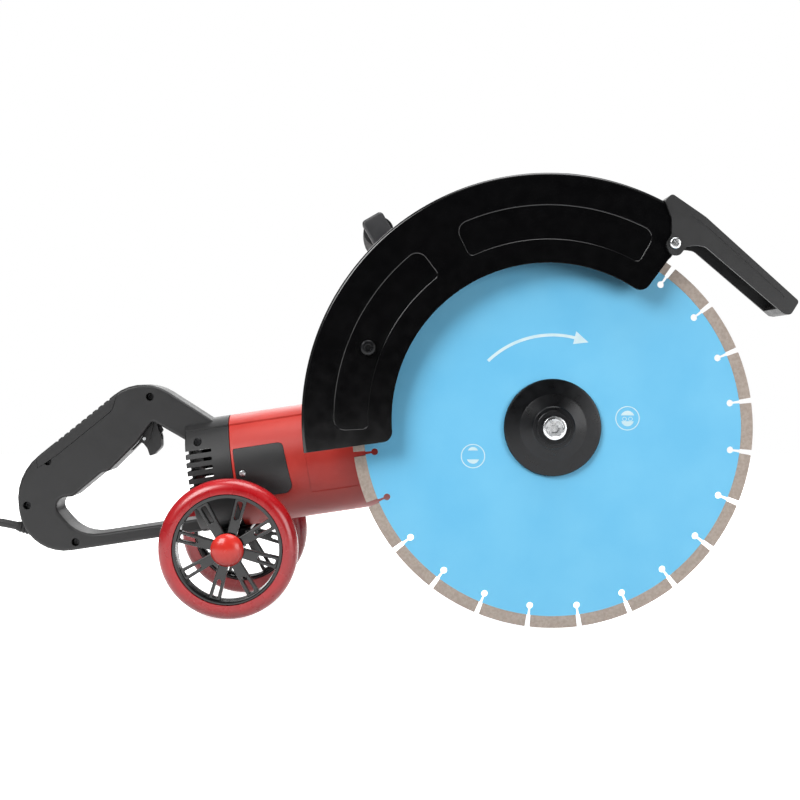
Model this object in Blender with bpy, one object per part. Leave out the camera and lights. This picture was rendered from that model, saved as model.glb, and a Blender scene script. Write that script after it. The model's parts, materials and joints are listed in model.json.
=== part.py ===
"""Electric concrete cut-off saw with a 350 mm diamond blade, as separate pieces.

Run with blender --background --python part.py, or from Blender's text editor.
Metres, +Z up. The blade turns about Y and faces -Y, and the grip is at -X.
Two frames are used. The ground frame is level, with its origin where the spindle's
axis meets the blade. The tool frame has the same origin and is pitched nose up, so that
its X is the motor's axis. The whole saw is then set down centred on the world's origin.
"""

import math

import bmesh
import bpy
from mathutils import Matrix, Vector

mm = 0.001
GAP = 0.3 * mm
FACETS = 16
SMALL_FACETS = 10
LARGE_FACETS = 36

# Stance
TOOL_PITCH = math.radians(8.5)
SPINDLE_HEIGHT = 175 * mm

# Blade and flanges
BLADE_RADIUS = 175 * mm
BLADE_BORE = 12.7 * mm
BLADE_THICKNESS = 3.0 * mm
SEGMENT_COUNT = 24
SLOT_WIDTH = 3.6 * mm
KEYHOLE_RADIUS = 3.0 * mm
KEYHOLE_CENTRE_RADIUS = 156.5 * mm
FIRST_SLOT_ANGLE = math.radians(7.8)
FLANGE_RADIUS = 42.5 * mm
INNER_FLANGE_DEPTH = 8 * mm
OUTER_FLANGE_DEPTH = 11 * mm
BOLT_HEAD_RADIUS = 10.3 * mm
BOLT_HEAD_HEIGHT = 6 * mm
BOLT_SHANK_RADIUS = 5 * mm

# Drive
MOTOR_AXIS_DEPTH = 120 * mm
SPINDLE_NOSE_RADIUS = 8.5 * mm
SPINDLE_BEARING_BORE = 10 * mm
SPINDLE_BEARING_RADIUS = 23.5 * mm
SPINDLE_BEARING_START = 40 * mm
SPINDLE_BEARING_WIDTH = 14 * mm
SPINDLE_TAIL_RADIUS = 7.5 * mm
TAIL_BEARING_RADIUS = 11 * mm
TAIL_BEARING_WIDTH = 12 * mm
SHAFT_RADIUS = 7 * mm
SHAFT_END_RADIUS = 4.5 * mm
BEARING_JOURNAL_RADIUS = 6 * mm
CROWN_TEETH = 28
PINION_TEETH = 8
CROWN_PITCH_RADIUS = 38 * mm
TOOTH_LENGTH = 10 * mm
TOOTH_RISE = 1.2 * mm
TOOTH_ROOT = 2.6 * mm
TOOTH_FILL = 0.3
MOTOR_BEARING_RADIUS = 14 * mm
MOTOR_BEARING_WIDTH = 8 * mm
ARMATURE_RADIUS = 29 * mm
ARMATURE_LENGTH = 66 * mm
ARMATURE_CENTRE = -180 * mm
STATOR_RADIUS = 46.5 * mm
COMMUTATOR_RADIUS = 16 * mm
COMMUTATOR_CENTRE = -256 * mm
FAN_RADIUS = 41 * mm
FAN_BLADES = 14
FAN_START = -107 * mm

# Motor housing and gear case
HOUSING_RADIUS = 54.2 * mm
HOUSING_DROP = 3.3 * mm
HOUSING_BORE = 46.9 * mm
HOUSING_FRONT = -80.3 * mm
HOUSING_REAR = -289.7 * mm
HOUSING_END_WALL = 6 * mm
SPINE_RISE = 1.4 * mm
SPINE_HALF_ANGLE = math.radians(33)
SHIELD_THICKNESS = 6 * mm
SHIELD_BOSS_RADIUS = 20 * mm
SHIELD_SEAT_DEPTH = 2.2 * mm
NECK_STEP = 2 * mm
GEAR_CASE_RADIUS = 50 * mm
GEAR_CASE_WALL = 6 * mm
GEAR_CASE_START = 42.5 * mm
GEAR_CASE_END = 152 * mm
NECK_BORE = 45.5 * mm
CARRIER_NECK_RADIUS = 30 * mm
CARRIER_NECK_START = 20 * mm
LOCK_PLACE = (27 * mm, 0.0)
LOCK_RADIUS = 4 * mm
LOCK_CAP_RADIUS = 8 * mm
LOCK_TRAVEL = 5 * mm
COVER_OUTLINE = ((-287, 19.6, 2), (-241, 19.6, 5), (-237.5, -22.7, 6), (-243, -27.6, 5), (-287, -27.6, 3))
COVER_THICKNESS = 3 * mm
COVER_SCREW = (-281 * mm, -3.7 * mm)
COVER_SCREW_RADIUS = 3.2 * mm

# Rear handle: corner points (along, up, corner radius) in millimetres in the tool frame
HANDLE_THICKNESS = 40 * mm
HANDLE_EDGE = 4.5 * mm
HANDLE_OUTSIDE = ((-299, 43, 0), (-366.7, 102.3, 44), (-499.6, 24.7, 52), (-499.6, -53.9, 43),
                  (-326, -53.9, 0))
HANDLE_INSIDE = ((-326, -41.8, 0), (-446.6, -41.8, 36), (-469.5, -5, 9), (-455, -2.6, 6), (-447.5, -3.6, 6),
                 (-417, 15, 6), (-409.5, 15.5, 6), (-379.8, 37.6, 0), (-361.5, 56, 3), (-322, 24.5, 0))
COLLAR_REAR = -331.5 * mm
COLLAR_WALL = 4 * mm
LOUVRE_COUNT = 6
LOUVRE_PITCH = 7.6 * mm
LOUVRE_HEIGHT = 3.2 * mm
LOUVRE_TOP = 22 * mm
LOUVRE_FRONT = -307 * mm
INLAY_OUTLINE = ((-392, 110, 0), (-476, 61, 0), (-476, 28, 0), (-455, 38, 10), (-398, 71.5, 10),
                 (-388, 92, 0))
GRIP_RIB_COUNT = 9
GRIP_RIB_PITCH = 6.9 * mm
GRIP_RIB_RADIUS = 1.8 * mm
GRIP_LINE_START = (-398 * mm, 84.1 * mm)
GRIP_LINE_ANGLE = math.radians(180 + 30.3)
HANDLE_SCREWS = ((-360.5, 79.4), (-465.6, 33.3), (-490.9, -5.3), (-450.6, -46.4), (-319.4, 30.8))
SCREW_RECESS_RADIUS = 3.8 * mm
SCREW_RECESS_DEPTH = 9 * mm
SWITCH_BAY = ((-452, 20, 3), (-380, 62, 3), (-352, 72, 3), (-352, 60, 2), (-366, 46, 2), (-386, 40, 2),
              (-440, 8, 3))
SWITCH_BAY_WIDTH = 30 * mm
SWITCH_OUTLINE = ((-444, 21.5, 2), (-394, 51, 2), (-386, 43.5, 2), (-437, 12.5, 2))

# Trigger
TRIGGER_PIVOT = (-361 * mm, 62.5 * mm)
TRIGGER_PIN_RADIUS = 2 * mm
TRIGGER_PIN_REACH = 14 * mm
TRIGGER_WIDTH = 16 * mm
TRIGGER_OUTLINE = ((-358.5, 66.5, 3), (-364, 66.5, 3), (-380, 48.5, 2), (-381, 37.5, 1.5), (-376, 37.5, 4),
                   (-372.2, 31, 6), (-371, 23.8, 1), (-367.5, 24, 4), (-359, 30, 6), (-357.8, 40, 4),
                   (-359.4, 52, 3))
TRIGGER_SLOT_FRONT = -366 * mm
LEVER_PIVOT = (-373.6 * mm, 40.5 * mm)
LEVER_WIDTH = 5 * mm
LEVER_OUTLINE = ((-375.8, 41, 2), (-374.5, 37.6, 2), (-371.5, 38, 1), (-357.5, 43.6, 1), (-355.6, 46, 1),
                 (-357.4, 51, 1.5), (-361, 50.5, 1), (-372, 43.8, 1))

# Front loop handle
LOOP_ARM_WIDTH = 21.5 * mm
LOOP_ARM_THICKNESS = 16 * mm
LOOP_ARM_INNER = 63.6 * mm
LOOP_FOOT = (-62.4 * mm, 0.0)
LOOP_KNEE = (-62 * mm, 42 * mm)
LOOP_TOP = (-123.5 * mm, 198.5 * mm)
LOOP_BAR_RADIUS = 9 * mm
LOOP_GRIP_RADIUS = 14 * mm
LOOP_BOLT_RADIUS = 4 * mm
LOOP_BOSS_RADIUS = 11.2 * mm
LOOP_COUNTERBORE_RADIUS = 7.5 * mm
LOOP_COUNTERBORE_DEPTH = 5 * mm
LOOP_BOLT_HEAD_RADIUS = 6.8 * mm
LOOP_BOLT_HEAD_HEIGHT = 4 * mm
LOOP_THREAD_DEPTH = 12 * mm

# Guard, about its own centre
GUARD_CENTRE = (-5.4 * mm, 7.4 * mm)
GUARD_OUTER = 212.6 * mm
GUARD_INNER = 134.9 * mm
GUARD_HALF_WIDTH = 20 * mm
GUARD_SHEET = 2.5 * mm
GUARD_EDGE = 3 * mm
GUARD_FRONT_END = math.radians(53.2)
GUARD_NOSE = ((176, 53.2), (192, 56.2), (204, 59.4))
GUARD_RIM_END = math.radians(62)
GUARD_REAR_END = math.radians(187.8)
GUARD_COLLAR_WALL = 3 * mm
GUARD_COLLAR_LENGTH = 14 * mm
GUARD_WEB_RADIUS = 60 * mm
POCKET_DEPTH = 0.9 * mm
POCKET_RADII = (155 * mm, 185 * mm)
POCKET_ANGLES = ((60, 116), (127, 183))
GUARD_BOLT_PLACE = (-160.6 * mm, 69.3 * mm)
GUARD_BOLT_RADIUS = 6.5 * mm
GUARD_BOLT_SHANK = 3 * mm
GUARD_NUT_RADIUS = 5.5 * mm
GUARD_BOLT_HEIGHT = 4 * mm
CLAMP_THICKNESS = 3 * mm
CLAMP_WIDTH = 11 * mm

# Deflector flap, in the ground frame: (across, up, corner radius) in millimetres
FLAP_PIVOT = (102.5 * mm, 158.7 * mm)
FLAP_WALL = 2.4 * mm
FLAP_OUTLINE = ((93.8, 195.6, 2), (100.2, 201.2, 3), (128.8, 181.4, 30), (208.9, 108.9, 3), (201.5, 97, 4),
                (195.5, 98.2, 3), (128.5, 155.6, 8), (121, 156.8, 10), (112.6, 155.9, 3), (106.5, 148.2, 5),
                (99, 148.2, 6), (94.5, 158, 6), (99.7, 166, 4), (99.8, 180, 12))
FLAP_CHANNEL = ((88, 205, 0), (95.2, 196.3, 0), (99, 197.9, 1), (127.6, 178.4, 30), (199, 113.6, 3),
                (183, 93, 0), (88, 93, 0))
FLAP_SCREW_RADIUS = 3 * mm
FLAP_SCREW_HEAD = 5.1 * mm

# Wheels
WHEEL_PLACE = -287.7 * mm
WHEEL_DEPTHS = (44 * mm, 196 * mm)
WHEEL_RADIUS = 63.5 * mm
TYRE_WIDTH = 22 * mm
TYRE_INNER = 50.2 * mm
RIM_LIP = 3.6 * mm
RIM_WIDTH = 20 * mm
SPOKE_COUNT = 8
SPOKE_WIDTH = 10 * mm
SPOKE_THICKNESS = 8 * mm
SPOKE_SLOT_WIDTH = 4.4 * mm
SPOKE_SLOT_START = 29 * mm
SPOKE_FIRST_ANGLE = math.radians(75)
HUB_RADIUS = 14 * mm
AXLE_RADIUS = 5 * mm
CAP_RADIUS = 15 * mm
CAP_HEIGHT = 7 * mm
BRACKET_EAR_DEPTHS = (96 * mm, 144 * mm)
BRACKET_SHEET = 3 * mm

# Cable
CABLE_RADIUS = 4 * mm
GLAND_START = (-488.5 * mm, -31.8 * mm)
GLAND_END = (-508.2 * mm, -24.4 * mm)
GLAND_COLLAR_RADIUS = 7 * mm
GLAND_COLLAR_LENGTH = 5 * mm
CABLE_ROUTE = ((-499.3, 120, -99.1), (-507.1, 119.9, -97.4), (-515, 119.8, -95.8),
               (-524.7, 119.5, -95), (-534.2, 119.1, -96.9), (-542.9, 118.6, -101.2),
               (-550.2, 118, -107.7), (-555.5, 117.4, -115.9), (-558.5, 116.7, -125.1),
               (-559.8, 116.2, -132.8), (-561.2, 115.7, -140.5), (-564.3, 115.1, -150.2),
               (-570, 114.6, -158.6), (-577.8, 114.1, -165.2), (-587.1, 113.8, -169.3),
               (-597.1, 113.5, -170.7), (-603.2, 113.5, -170.7))
TAIL_ROUTE = ((-690.3, 200.6, -160.9), (-690.3, 206.3, -160.6), (-690.3, 213.1, -158.4),
              (-690.3, 219.8, -156.2), (-690.3, 225.4, -155.9))
COIL_CENTRE = (-634 * mm, 169.8 * mm)
COIL_INNER = 27.8 * mm
COIL_OUTER = 60.5 * mm
COIL_HEIGHT = 16.6 * mm
COIL_LIFT = 1.5 * mm
TIE_THICKNESS = 1.0 * mm
TIE_WIDTH = 12 * mm
TIE_ANGLE = math.radians(45)
PLUG_PLACE = (-690.3 * mm, 296.1 * mm)
PLUG_HEADING = math.radians(-90)
PLUG_BODY_RADIUS = 19 * mm
PLUG_LENGTH = 70 * mm
PLUG_PIN_RADIUS = 2.4 * mm
PLUG_PIN_SPACING = 19 * mm
PLUG_PIN_LENGTH = 19 * mm

MATERIALS = {
    "gloss black steel": ((0.012, 0.012, 0.013), 0.22, 0.0),
    "black oxide steel": ((0.03, 0.03, 0.032), 0.42, 0.8),
    "bright steel": ((0.62, 0.62, 0.63), 0.25, 1.0),
    "blue enamel": ((0.20, 0.68, 1.0), 0.35, 0.0),
    "red plastic": ((0.70, 0.055, 0.035), 0.38, 0.0),
    "red rubber": ((0.62, 0.02, 0.02), 0.35, 0.0),
    "black plastic": ((0.022, 0.022, 0.023), 0.5, 0.0),
    "grey plastic": ((0.10, 0.10, 0.105), 0.5, 0.0),
    "soft black rubber": ((0.018, 0.018, 0.019), 0.7, 0.0),
    "cast aluminium": ((0.55, 0.56, 0.57), 0.45, 1.0),
    "laminated steel": ((0.25, 0.25, 0.26), 0.5, 0.9),
    "copper": ((0.72, 0.32, 0.16), 0.35, 1.0),
    "carbon": ((0.03, 0.03, 0.03), 0.65, 0.0),
    "zinc plated steel": ((0.55, 0.56, 0.58), 0.3, 1.0),
}


# ---------------------------------------------------------------- helpers

def material(name):
    """The named finish, made once and shared."""
    found = bpy.data.materials.get(name)
    if found:
        return found
    colour, roughness, metallic = MATERIALS[name]
    made = bpy.data.materials.new(name)
    made.use_nodes = True
    shader = made.node_tree.nodes["Principled BSDF"]
    shader.inputs["Base Color"].default_value = (*colour, 1)
    shader.inputs["Roughness"].default_value = roughness
    shader.inputs["Metallic"].default_value = metallic
    made.diffuse_color = (*colour, 1)
    return made


def clear_scene():
    for obj in list(bpy.data.objects):
        bpy.data.objects.remove(obj)


def empty(name, parent=None, location=(0, 0, 0), rotation=(0, 0, 0)):
    made = bpy.data.objects.new(name, None)
    bpy.context.collection.objects.link(made)
    made.parent = parent
    made.location = location
    made.rotation_euler = rotation
    return made


def add_object(name, bm, finish=None):
    """Turns a bmesh into an object, with quads turned so that every face points outwards."""
    bmesh.ops.recalc_face_normals(bm, faces=bm.faces)
    mesh = bpy.data.meshes.new(name)
    bm.to_mesh(mesh)
    bm.free()
    made = bpy.data.objects.new(name, mesh)
    bpy.context.collection.objects.link(made)
    if finish:
        mesh.materials.append(material(finish))
    return made


def place(obj, parent, location=(0, 0, 0)):
    """Puts an object's origin at a point of its parent's frame, leaving its shape where it was drawn."""
    shift = Vector(location)
    obj.data.transform(Matrix.Translation(-shift))
    obj.parent = parent
    obj.location = shift
    return obj


def smooth(obj, degrees=35):
    obj.data.shade_smooth()
    obj.data.set_sharp_from_angle(angle=math.radians(degrees))
    return obj


def combine(obj, tools, operation="DIFFERENCE"):
    """Cuts or joins the tool shapes with the object, one after another, and removes the tools."""
    for tool in tools:
        step = obj.modifiers.new("combine", "BOOLEAN")
        step.operation = operation
        step.solver = "EXACT"
        step.object = tool
        graph = bpy.context.evaluated_depsgraph_get()
        result = bpy.data.meshes.new_from_object(obj.evaluated_get(graph))
        obj.modifiers.remove(step)
        obj.data = result
        bpy.data.objects.remove(tool)
    return obj


def cut(obj, *tools):
    return combine(obj, tools, "DIFFERENCE")


def join(obj, *tools):
    return combine(obj, tools, "UNION")


def common(obj, tool):
    return combine(obj, [tool], "INTERSECT")


def rounded(corners, unit=mm, step=math.radians(24)):
    """An outline from corner points (x, z, radius), with each corner's radius drawn as an arc."""
    points = [Vector((x, z)) * unit for x, z, _ in corners]
    outline = []
    for index, (_, _, radius) in enumerate(corners):
        here = points[index]
        back = (points[index - 1] - here).normalized()
        ahead = (points[(index + 1) % len(points)] - here).normalized()
        turn = math.pi - back.angle(ahead)
        if radius == 0 or turn < 0.01:
            outline.append(here)
            continue
        reach = radius * unit * math.tan(turn / 2)
        start, end = here + back * reach, here + ahead * reach
        centre = here + (back + ahead).normalized() * (radius * unit / math.cos(turn / 2))
        steps = max(2, round(turn / step))
        first = start - centre
        sweep = first.angle_signed(end - centre)
        for count in range(steps + 1):
            arm = first.copy()
            arm.rotate(Matrix.Rotation(-sweep * count / steps, 2))
            outline.append(centre + arm)
    return outline


def arc(centre, radius, start, end, steps):
    """Points on an arc in the XZ plane, both ends included."""
    angles = [start + (end - start) * count / steps for count in range(steps + 1)]
    return [Vector((centre[0] + radius * math.cos(a), centre[1] + radius * math.sin(a))) for a in angles]


def prism(name, outline, near, far, finish=None, near_edge=0, far_edge=0, edge_steps=1):
    """An XZ outline extruded along Y from near to far, with its rims rounded where asked."""
    bm = bmesh.new()
    verts = [bm.verts.new((point[0], near, point[1])) for point in outline]
    face = bm.faces.new(verts)
    extruded = bmesh.ops.extrude_face_region(bm, geom=[face])
    moved = [item for item in extruded["geom"] if isinstance(item, bmesh.types.BMVert)]
    bmesh.ops.translate(bm, verts=moved, vec=(0, far - near, 0))
    bmesh.ops.recalc_face_normals(bm, faces=bm.faces)
    for depth, width in ((near, near_edge), (far, far_edge)):
        if width:
            rim = [e for e in bm.edges if all(abs(v.co.y - depth) < 1e-7 for v in e.verts)]
            bmesh.ops.bevel(bm, geom=rim, offset=width, segments=edge_steps, profile=0.5,
                            affect="EDGES", clamp_overlap=True)
    return add_object(name, bm, finish)


def box(name, low, high, finish=None, edge=0):
    bm = bmesh.new()
    bmesh.ops.create_cube(bm, size=1)
    for vert in bm.verts:
        vert.co = Vector([low[i] if vert.co[i] < 0 else high[i] for i in range(3)])
    if edge:
        bmesh.ops.bevel(bm, geom=bm.edges, offset=edge, segments=2, profile=0.5, affect="EDGES")
    return add_object(name, bm, finish)


AXIS_TURN = {
    "Y": Matrix.Rotation(math.radians(-90), 4, "X"),
    "X": Matrix.Rotation(math.radians(90), 4, "Y"),
    "Z": Matrix.Identity(4),
}


def turned(name, profile, axis, centre=(0, 0, 0), finish=None, segments=FACETS):
    """A solid turned piece from (radius, distance along the axis) points."""
    bm = bmesh.new()
    rings = []
    for radius, along in profile:
        if radius == 0:
            rings.append([bm.verts.new((0, 0, along))])
            continue
        angles = [2 * math.pi * count / segments for count in range(segments)]
        rings.append([bm.verts.new((radius * math.cos(a), radius * math.sin(a), along)) for a in angles])
    for one, other in zip(rings, rings[1:]):
        bridge(bm, one, other)
    for end in (rings[0], rings[-1]):
        if len(end) > 1:
            bm.faces.new(end)
    bmesh.ops.transform(bm, matrix=Matrix.Translation(centre) @ AXIS_TURN[axis], verts=bm.verts)
    return add_object(name, bm, finish)


def bridge(bm, one, other):
    """Faces between two rings of vertices, either of which may be a single point."""
    count = max(len(one), len(other))
    for index in range(count):
        after = (index + 1) % count
        corners = [one[index % len(one)], one[after % len(one)], other[after % len(other)],
                   other[index % len(other)]]
        corners = [v for order, v in enumerate(corners) if v not in corners[:order]]
        bm.faces.new(corners)


def ring(name, inner, outer, start, end, axis="Y", centre=(0, 0, 0), finish=None, segments=FACETS):
    profile = [(inner, start), (outer, start), (outer, end), (inner, end)]
    return closed_ring(name, profile, axis, centre, finish, segments)


def closed_ring(name, profile, axis, centre=(0, 0, 0), finish=None, segments=FACETS):
    """A turned ring whose profile is a closed loop clear of the axis."""
    bm = bmesh.new()
    rings = []
    for radius, along in profile:
        angles = [2 * math.pi * count / segments for count in range(segments)]
        rings.append([bm.verts.new((radius * math.cos(a), radius * math.sin(a), along)) for a in angles])
    for one, other in zip(rings, rings[1:] + rings[:1]):
        bridge(bm, one, other)
    bmesh.ops.transform(bm, matrix=Matrix.Translation(centre) @ AXIS_TURN[axis], verts=bm.verts)
    return add_object(name, bm, finish)


def rod(name, radius, start, end, axis="Y", centre=(0, 0, 0), finish=None, segments=FACETS):
    return turned(name, [(radius, start), (radius, end)], axis, centre, finish, segments)


# ---------------------------------------------------------------- blade and flanges

def blade_outline():
    """The rim arcs between slots, with each slot running down to its round keyhole."""
    outline = []
    pitch = 2 * math.pi / SEGMENT_COUNT
    half = SLOT_WIDTH / 2
    mouth = math.asin(half / BLADE_RADIUS)
    throat = math.asin(half / KEYHOLE_RADIUS)
    for count in range(SEGMENT_COUNT):
        slot = FIRST_SLOT_ANGLE + count * pitch
        radial = Vector((math.cos(slot), math.sin(slot)))
        centre = radial * KEYHOLE_CENTRE_RADIUS
        outline.append(Vector((math.cos(slot - mouth), math.sin(slot - mouth))) * BLADE_RADIUS)
        outline += arc(centre, KEYHOLE_RADIUS, slot - throat, slot - 2 * math.pi + throat, 4)
        outline += arc((0, 0), BLADE_RADIUS, slot + mouth, slot + pitch - mouth, 2)[:-1]
    return outline


def make_blade(parent):
    half = BLADE_THICKNESS / 2
    blade = prism("diamond_blade", blade_outline(), -half, half, "blue enamel")
    cut(blade, rod("cut", BLADE_BORE, -half - mm, half + mm))
    place(blade, parent)


def make_flanges(parent):
    face = BLADE_THICKNESS / 2 + GAP
    seat = BLADE_BORE - GAP
    inner = [(SPINDLE_NOSE_RADIUS + GAP, face + INNER_FLANGE_DEPTH),
             (SPINDLE_NOSE_RADIUS + GAP, -face + GAP),
             (seat, -face + GAP), (seat, face), (FLANGE_RADIUS, face),
             (FLANGE_RADIUS, face + INNER_FLANGE_DEPTH / 2), (20 * mm, face + INNER_FLANGE_DEPTH)]
    place(smooth(closed_ring("inner_flange", inner, "Y", finish="black oxide steel")), parent)
    front = -face - OUTER_FLANGE_DEPTH
    bore = BOLT_SHANK_RADIUS + GAP
    outer = [(bore, -face), (bore, front), (14.8 * mm, front), (18.3 * mm, front + 1.2 * mm),
             (28.7 * mm, front + 5.5 * mm), (FLANGE_RADIUS - 1.5 * mm, -face - 3.2 * mm),
             (FLANGE_RADIUS, -face - 2 * mm), (FLANGE_RADIUS, -face)]
    place(smooth(closed_ring("outer_flange", outer, "Y", finish="black oxide steel")), parent)
    top = front - GAP
    bolt = turned("flange_bolt", [(0, 24 * mm), (BOLT_SHANK_RADIUS, 24 * mm), (BOLT_SHANK_RADIUS, top),
                                  (BOLT_HEAD_RADIUS, top), (BOLT_HEAD_RADIUS, top - BOLT_HEAD_HEIGHT + mm),
                                  (BOLT_HEAD_RADIUS - mm, top - BOLT_HEAD_HEIGHT),
                                  (0, top - BOLT_HEAD_HEIGHT)],
                  "Y", finish="bright steel")
    cut(bolt, rod("cut", 6.4 * mm, top - BOLT_HEAD_HEIGHT - mm, top - 2 * mm, segments=6))
    place(smooth(bolt), parent)


# ---------------------------------------------------------------- drive

def spindle_profile():
    """Nose, bearing seat, shoulder, gear seat and tail, from the blade inwards."""
    bearing_end = SPINDLE_BEARING_START + SPINDLE_BEARING_WIDTH
    nose = -BLADE_THICKNESS / 2
    bore = BOLT_SHANK_RADIUS + GAP
    gear_back = crown_back()
    return [(0, 26 * mm), (bore, 26 * mm), (bore, nose), (SPINDLE_NOSE_RADIUS, nose),
            (SPINDLE_NOSE_RADIUS, 30 * mm), (SPINDLE_BEARING_BORE, 30 * mm),
            (SPINDLE_BEARING_BORE, bearing_end + GAP), (SPINDLE_BEARING_BORE + 3 * mm, bearing_end + GAP),
            (SPINDLE_BEARING_BORE + 3 * mm, gear_back - GAP), (9 * mm, gear_back - GAP),
            (9 * mm, gear_back + 17 * mm), (SPINDLE_TAIL_RADIUS, gear_back + 17 * mm),
            (SPINDLE_TAIL_RADIUS, GEAR_CASE_END - GEAR_CASE_WALL - mm),
            (0, GEAR_CASE_END - GEAR_CASE_WALL - mm)]


def crown_back():
    """Distance from the blade to the back of the crown gear."""
    return MOTOR_AXIS_DEPTH - pinion_pitch_radius() - 12 * mm


def pinion_pitch_radius():
    return CROWN_PITCH_RADIUS * PINION_TEETH / CROWN_TEETH


def toothed_rings(bm, teeth, cone_angle, phase, sizes):
    """Rings of a straight bevel gear's teeth about +Z, with the cone's point at the origin."""
    cone_distance = CROWN_PITCH_RADIUS / math.sin(math.atan(CROWN_TEETH / PINION_TEETH))
    pitch = 2 * math.pi / teeth
    rings = []
    for size in sizes:
        share = size / cone_distance
        line = Vector((math.sin(cone_angle), math.cos(cone_angle))) * size
        normal = Vector((math.cos(cone_angle), -math.sin(cone_angle))) * share
        tip = line + normal * TOOTH_RISE
        root = line - normal * TOOTH_ROOT
        points = []
        for tooth in range(teeth):
            middle = phase + tooth * pitch
            for spot, width in ((root, 0.62), (tip, 0.42), (tip, -0.42), (root, -0.62)):
                angle = middle - width * TOOTH_FILL * pitch
                points.append(bm.verts.new((spot[0] * math.cos(angle), spot[0] * math.sin(angle), spot[1])))
        rings.append(points)
    return rings


def bevel_gear(name, teeth, cone_angle, phase, back, hub, hub_length, bore, finish):
    """A bevel gear about +Z with its cone's point at the origin: toothed body, hub and bore."""
    bm = bmesh.new()
    outer = CROWN_PITCH_RADIUS / math.sin(math.atan(CROWN_TEETH / PINION_TEETH))
    rings = toothed_rings(bm, teeth, cone_angle, phase, (outer, outer - TOOTH_LENGTH))
    ends = (bm.verts.new((0, 0, back)), bm.verts.new((0, 0, rings[1][0].co.z)))
    bridge(bm, [ends[0]], rings[0])
    bridge(bm, rings[0], rings[1])
    bridge(bm, rings[1], [ends[1]])
    gear = add_object(name, bm, finish)
    join(gear, rod("hub", hub, back - hub_length, back, "Z"))
    cut(gear, rod("cut", bore, back - hub_length - 20 * mm, back + mm, "Z"))
    return gear


def make_gears(spindle_frame, rotor_frame):
    ratio_angle = math.atan(CROWN_TEETH / PINION_TEETH)
    pitch_depth = pinion_pitch_radius()
    crown = bevel_gear("crown_gear", CROWN_TEETH, ratio_angle, math.pi / CROWN_TEETH, pitch_depth + 12 * mm,
                       15 * mm, 17 * mm, 9 * mm + GAP, "black oxide steel")
    crown.data.transform(Matrix.Translation((0, MOTOR_AXIS_DEPTH, 0)) @ facing_blade())
    place(crown, spindle_frame)
    pinion = bevel_gear("pinion", PINION_TEETH, math.pi / 2 - ratio_angle, 0, CROWN_PITCH_RADIUS + 1.5 * mm,
                        7 * mm, 13 * mm, SHAFT_END_RADIUS + GAP, "bright steel")
    pinion.data.transform(Matrix.Translation((0, MOTOR_AXIS_DEPTH, 0)) @ facing_rear())
    place(pinion, rotor_frame, (0, MOTOR_AXIS_DEPTH, 0))


def facing_blade():
    """Turns +Z to -Y, and keeps the gear's first gap on the motor's side."""
    return Matrix(((-1, 0, 0, 0), (0, 0, -1, 0), (0, -1, 0, 0), (0, 0, 0, 1)))


def facing_rear():
    """Turns +Z to -X, and puts the pinion's first tooth on the blade's side."""
    return Matrix(((0, 0, -1, 0), (-1, 0, 0, 0), (0, 1, 0, 0), (0, 0, 0, 1)))


def make_spindle(parent):
    place(smooth(turned("spindle", spindle_profile(), "Y", finish="bright steel", segments=FACETS)), parent)


def make_rotor(parent):
    centre = (0, MOTOR_AXIS_DEPTH, 0)
    rear_seat = HOUSING_REAR + HOUSING_END_WALL - mm
    shaft = [(0, HOUSING_REAR + 3 * mm), (SHAFT_END_RADIUS, HOUSING_REAR + 3 * mm),
             (SHAFT_END_RADIUS, rear_seat + 8 * mm),
             (SHAFT_RADIUS, rear_seat + 8 * mm), (SHAFT_RADIUS, -86 * mm),
             (BEARING_JOURNAL_RADIUS, -86 * mm),
             (BEARING_JOURNAL_RADIUS, -60 * mm), (SHAFT_END_RADIUS, -60 * mm),
             (SHAFT_END_RADIUS, -26 * mm), (0, -26 * mm)]
    place(smooth(turned("armature_shaft", shaft, "X", centre, "bright steel")), parent, centre)
    bore = SHAFT_RADIUS + GAP
    rear = ARMATURE_CENTRE - ARMATURE_LENGTH / 2
    front = ARMATURE_CENTRE + ARMATURE_LENGTH / 2
    comm = COMMUTATOR_CENTRE
    armature = [(bore, comm - 11 * mm), (COMMUTATOR_RADIUS, comm - 11 * mm),
                (COMMUTATOR_RADIUS, comm + 10 * mm),
                (COMMUTATOR_RADIUS + 2 * mm, comm + 12 * mm), (22 * mm, rear - 14 * mm),
                (25 * mm, rear - 4 * mm),
                (25 * mm, rear), (ARMATURE_RADIUS, rear), (ARMATURE_RADIUS, front), (25 * mm, front),
                (24 * mm, front + 9 * mm), (14 * mm, front + 12 * mm), (bore, front + 12 * mm)]
    place(smooth(closed_ring("armature", armature, "X", centre, "laminated steel")), parent, centre)
    outline = []
    for count in range(FAN_BLADES):
        angle = 2 * math.pi * count / FAN_BLADES
        for radius, share in ((24 * mm, 0), (FAN_RADIUS, 0.35), (FAN_RADIUS, 0.62), (24 * mm, 0.5)):
            turn = angle + share * 2 * math.pi / FAN_BLADES
            outline.append(Vector((radius * math.cos(turn), radius * math.sin(turn))))
    fan = prism("fan", outline, 0, 11 * mm, "grey plastic")
    cut(fan, rod("cut", bore, -mm, 12 * mm, segments=FACETS))
    turn = Matrix.Rotation(math.radians(90), 4, "Z")
    fan.data.transform(Matrix.Translation((FAN_START, MOTOR_AXIS_DEPTH, 0)) @ turn)
    place(smooth(fan), parent, centre)


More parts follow.
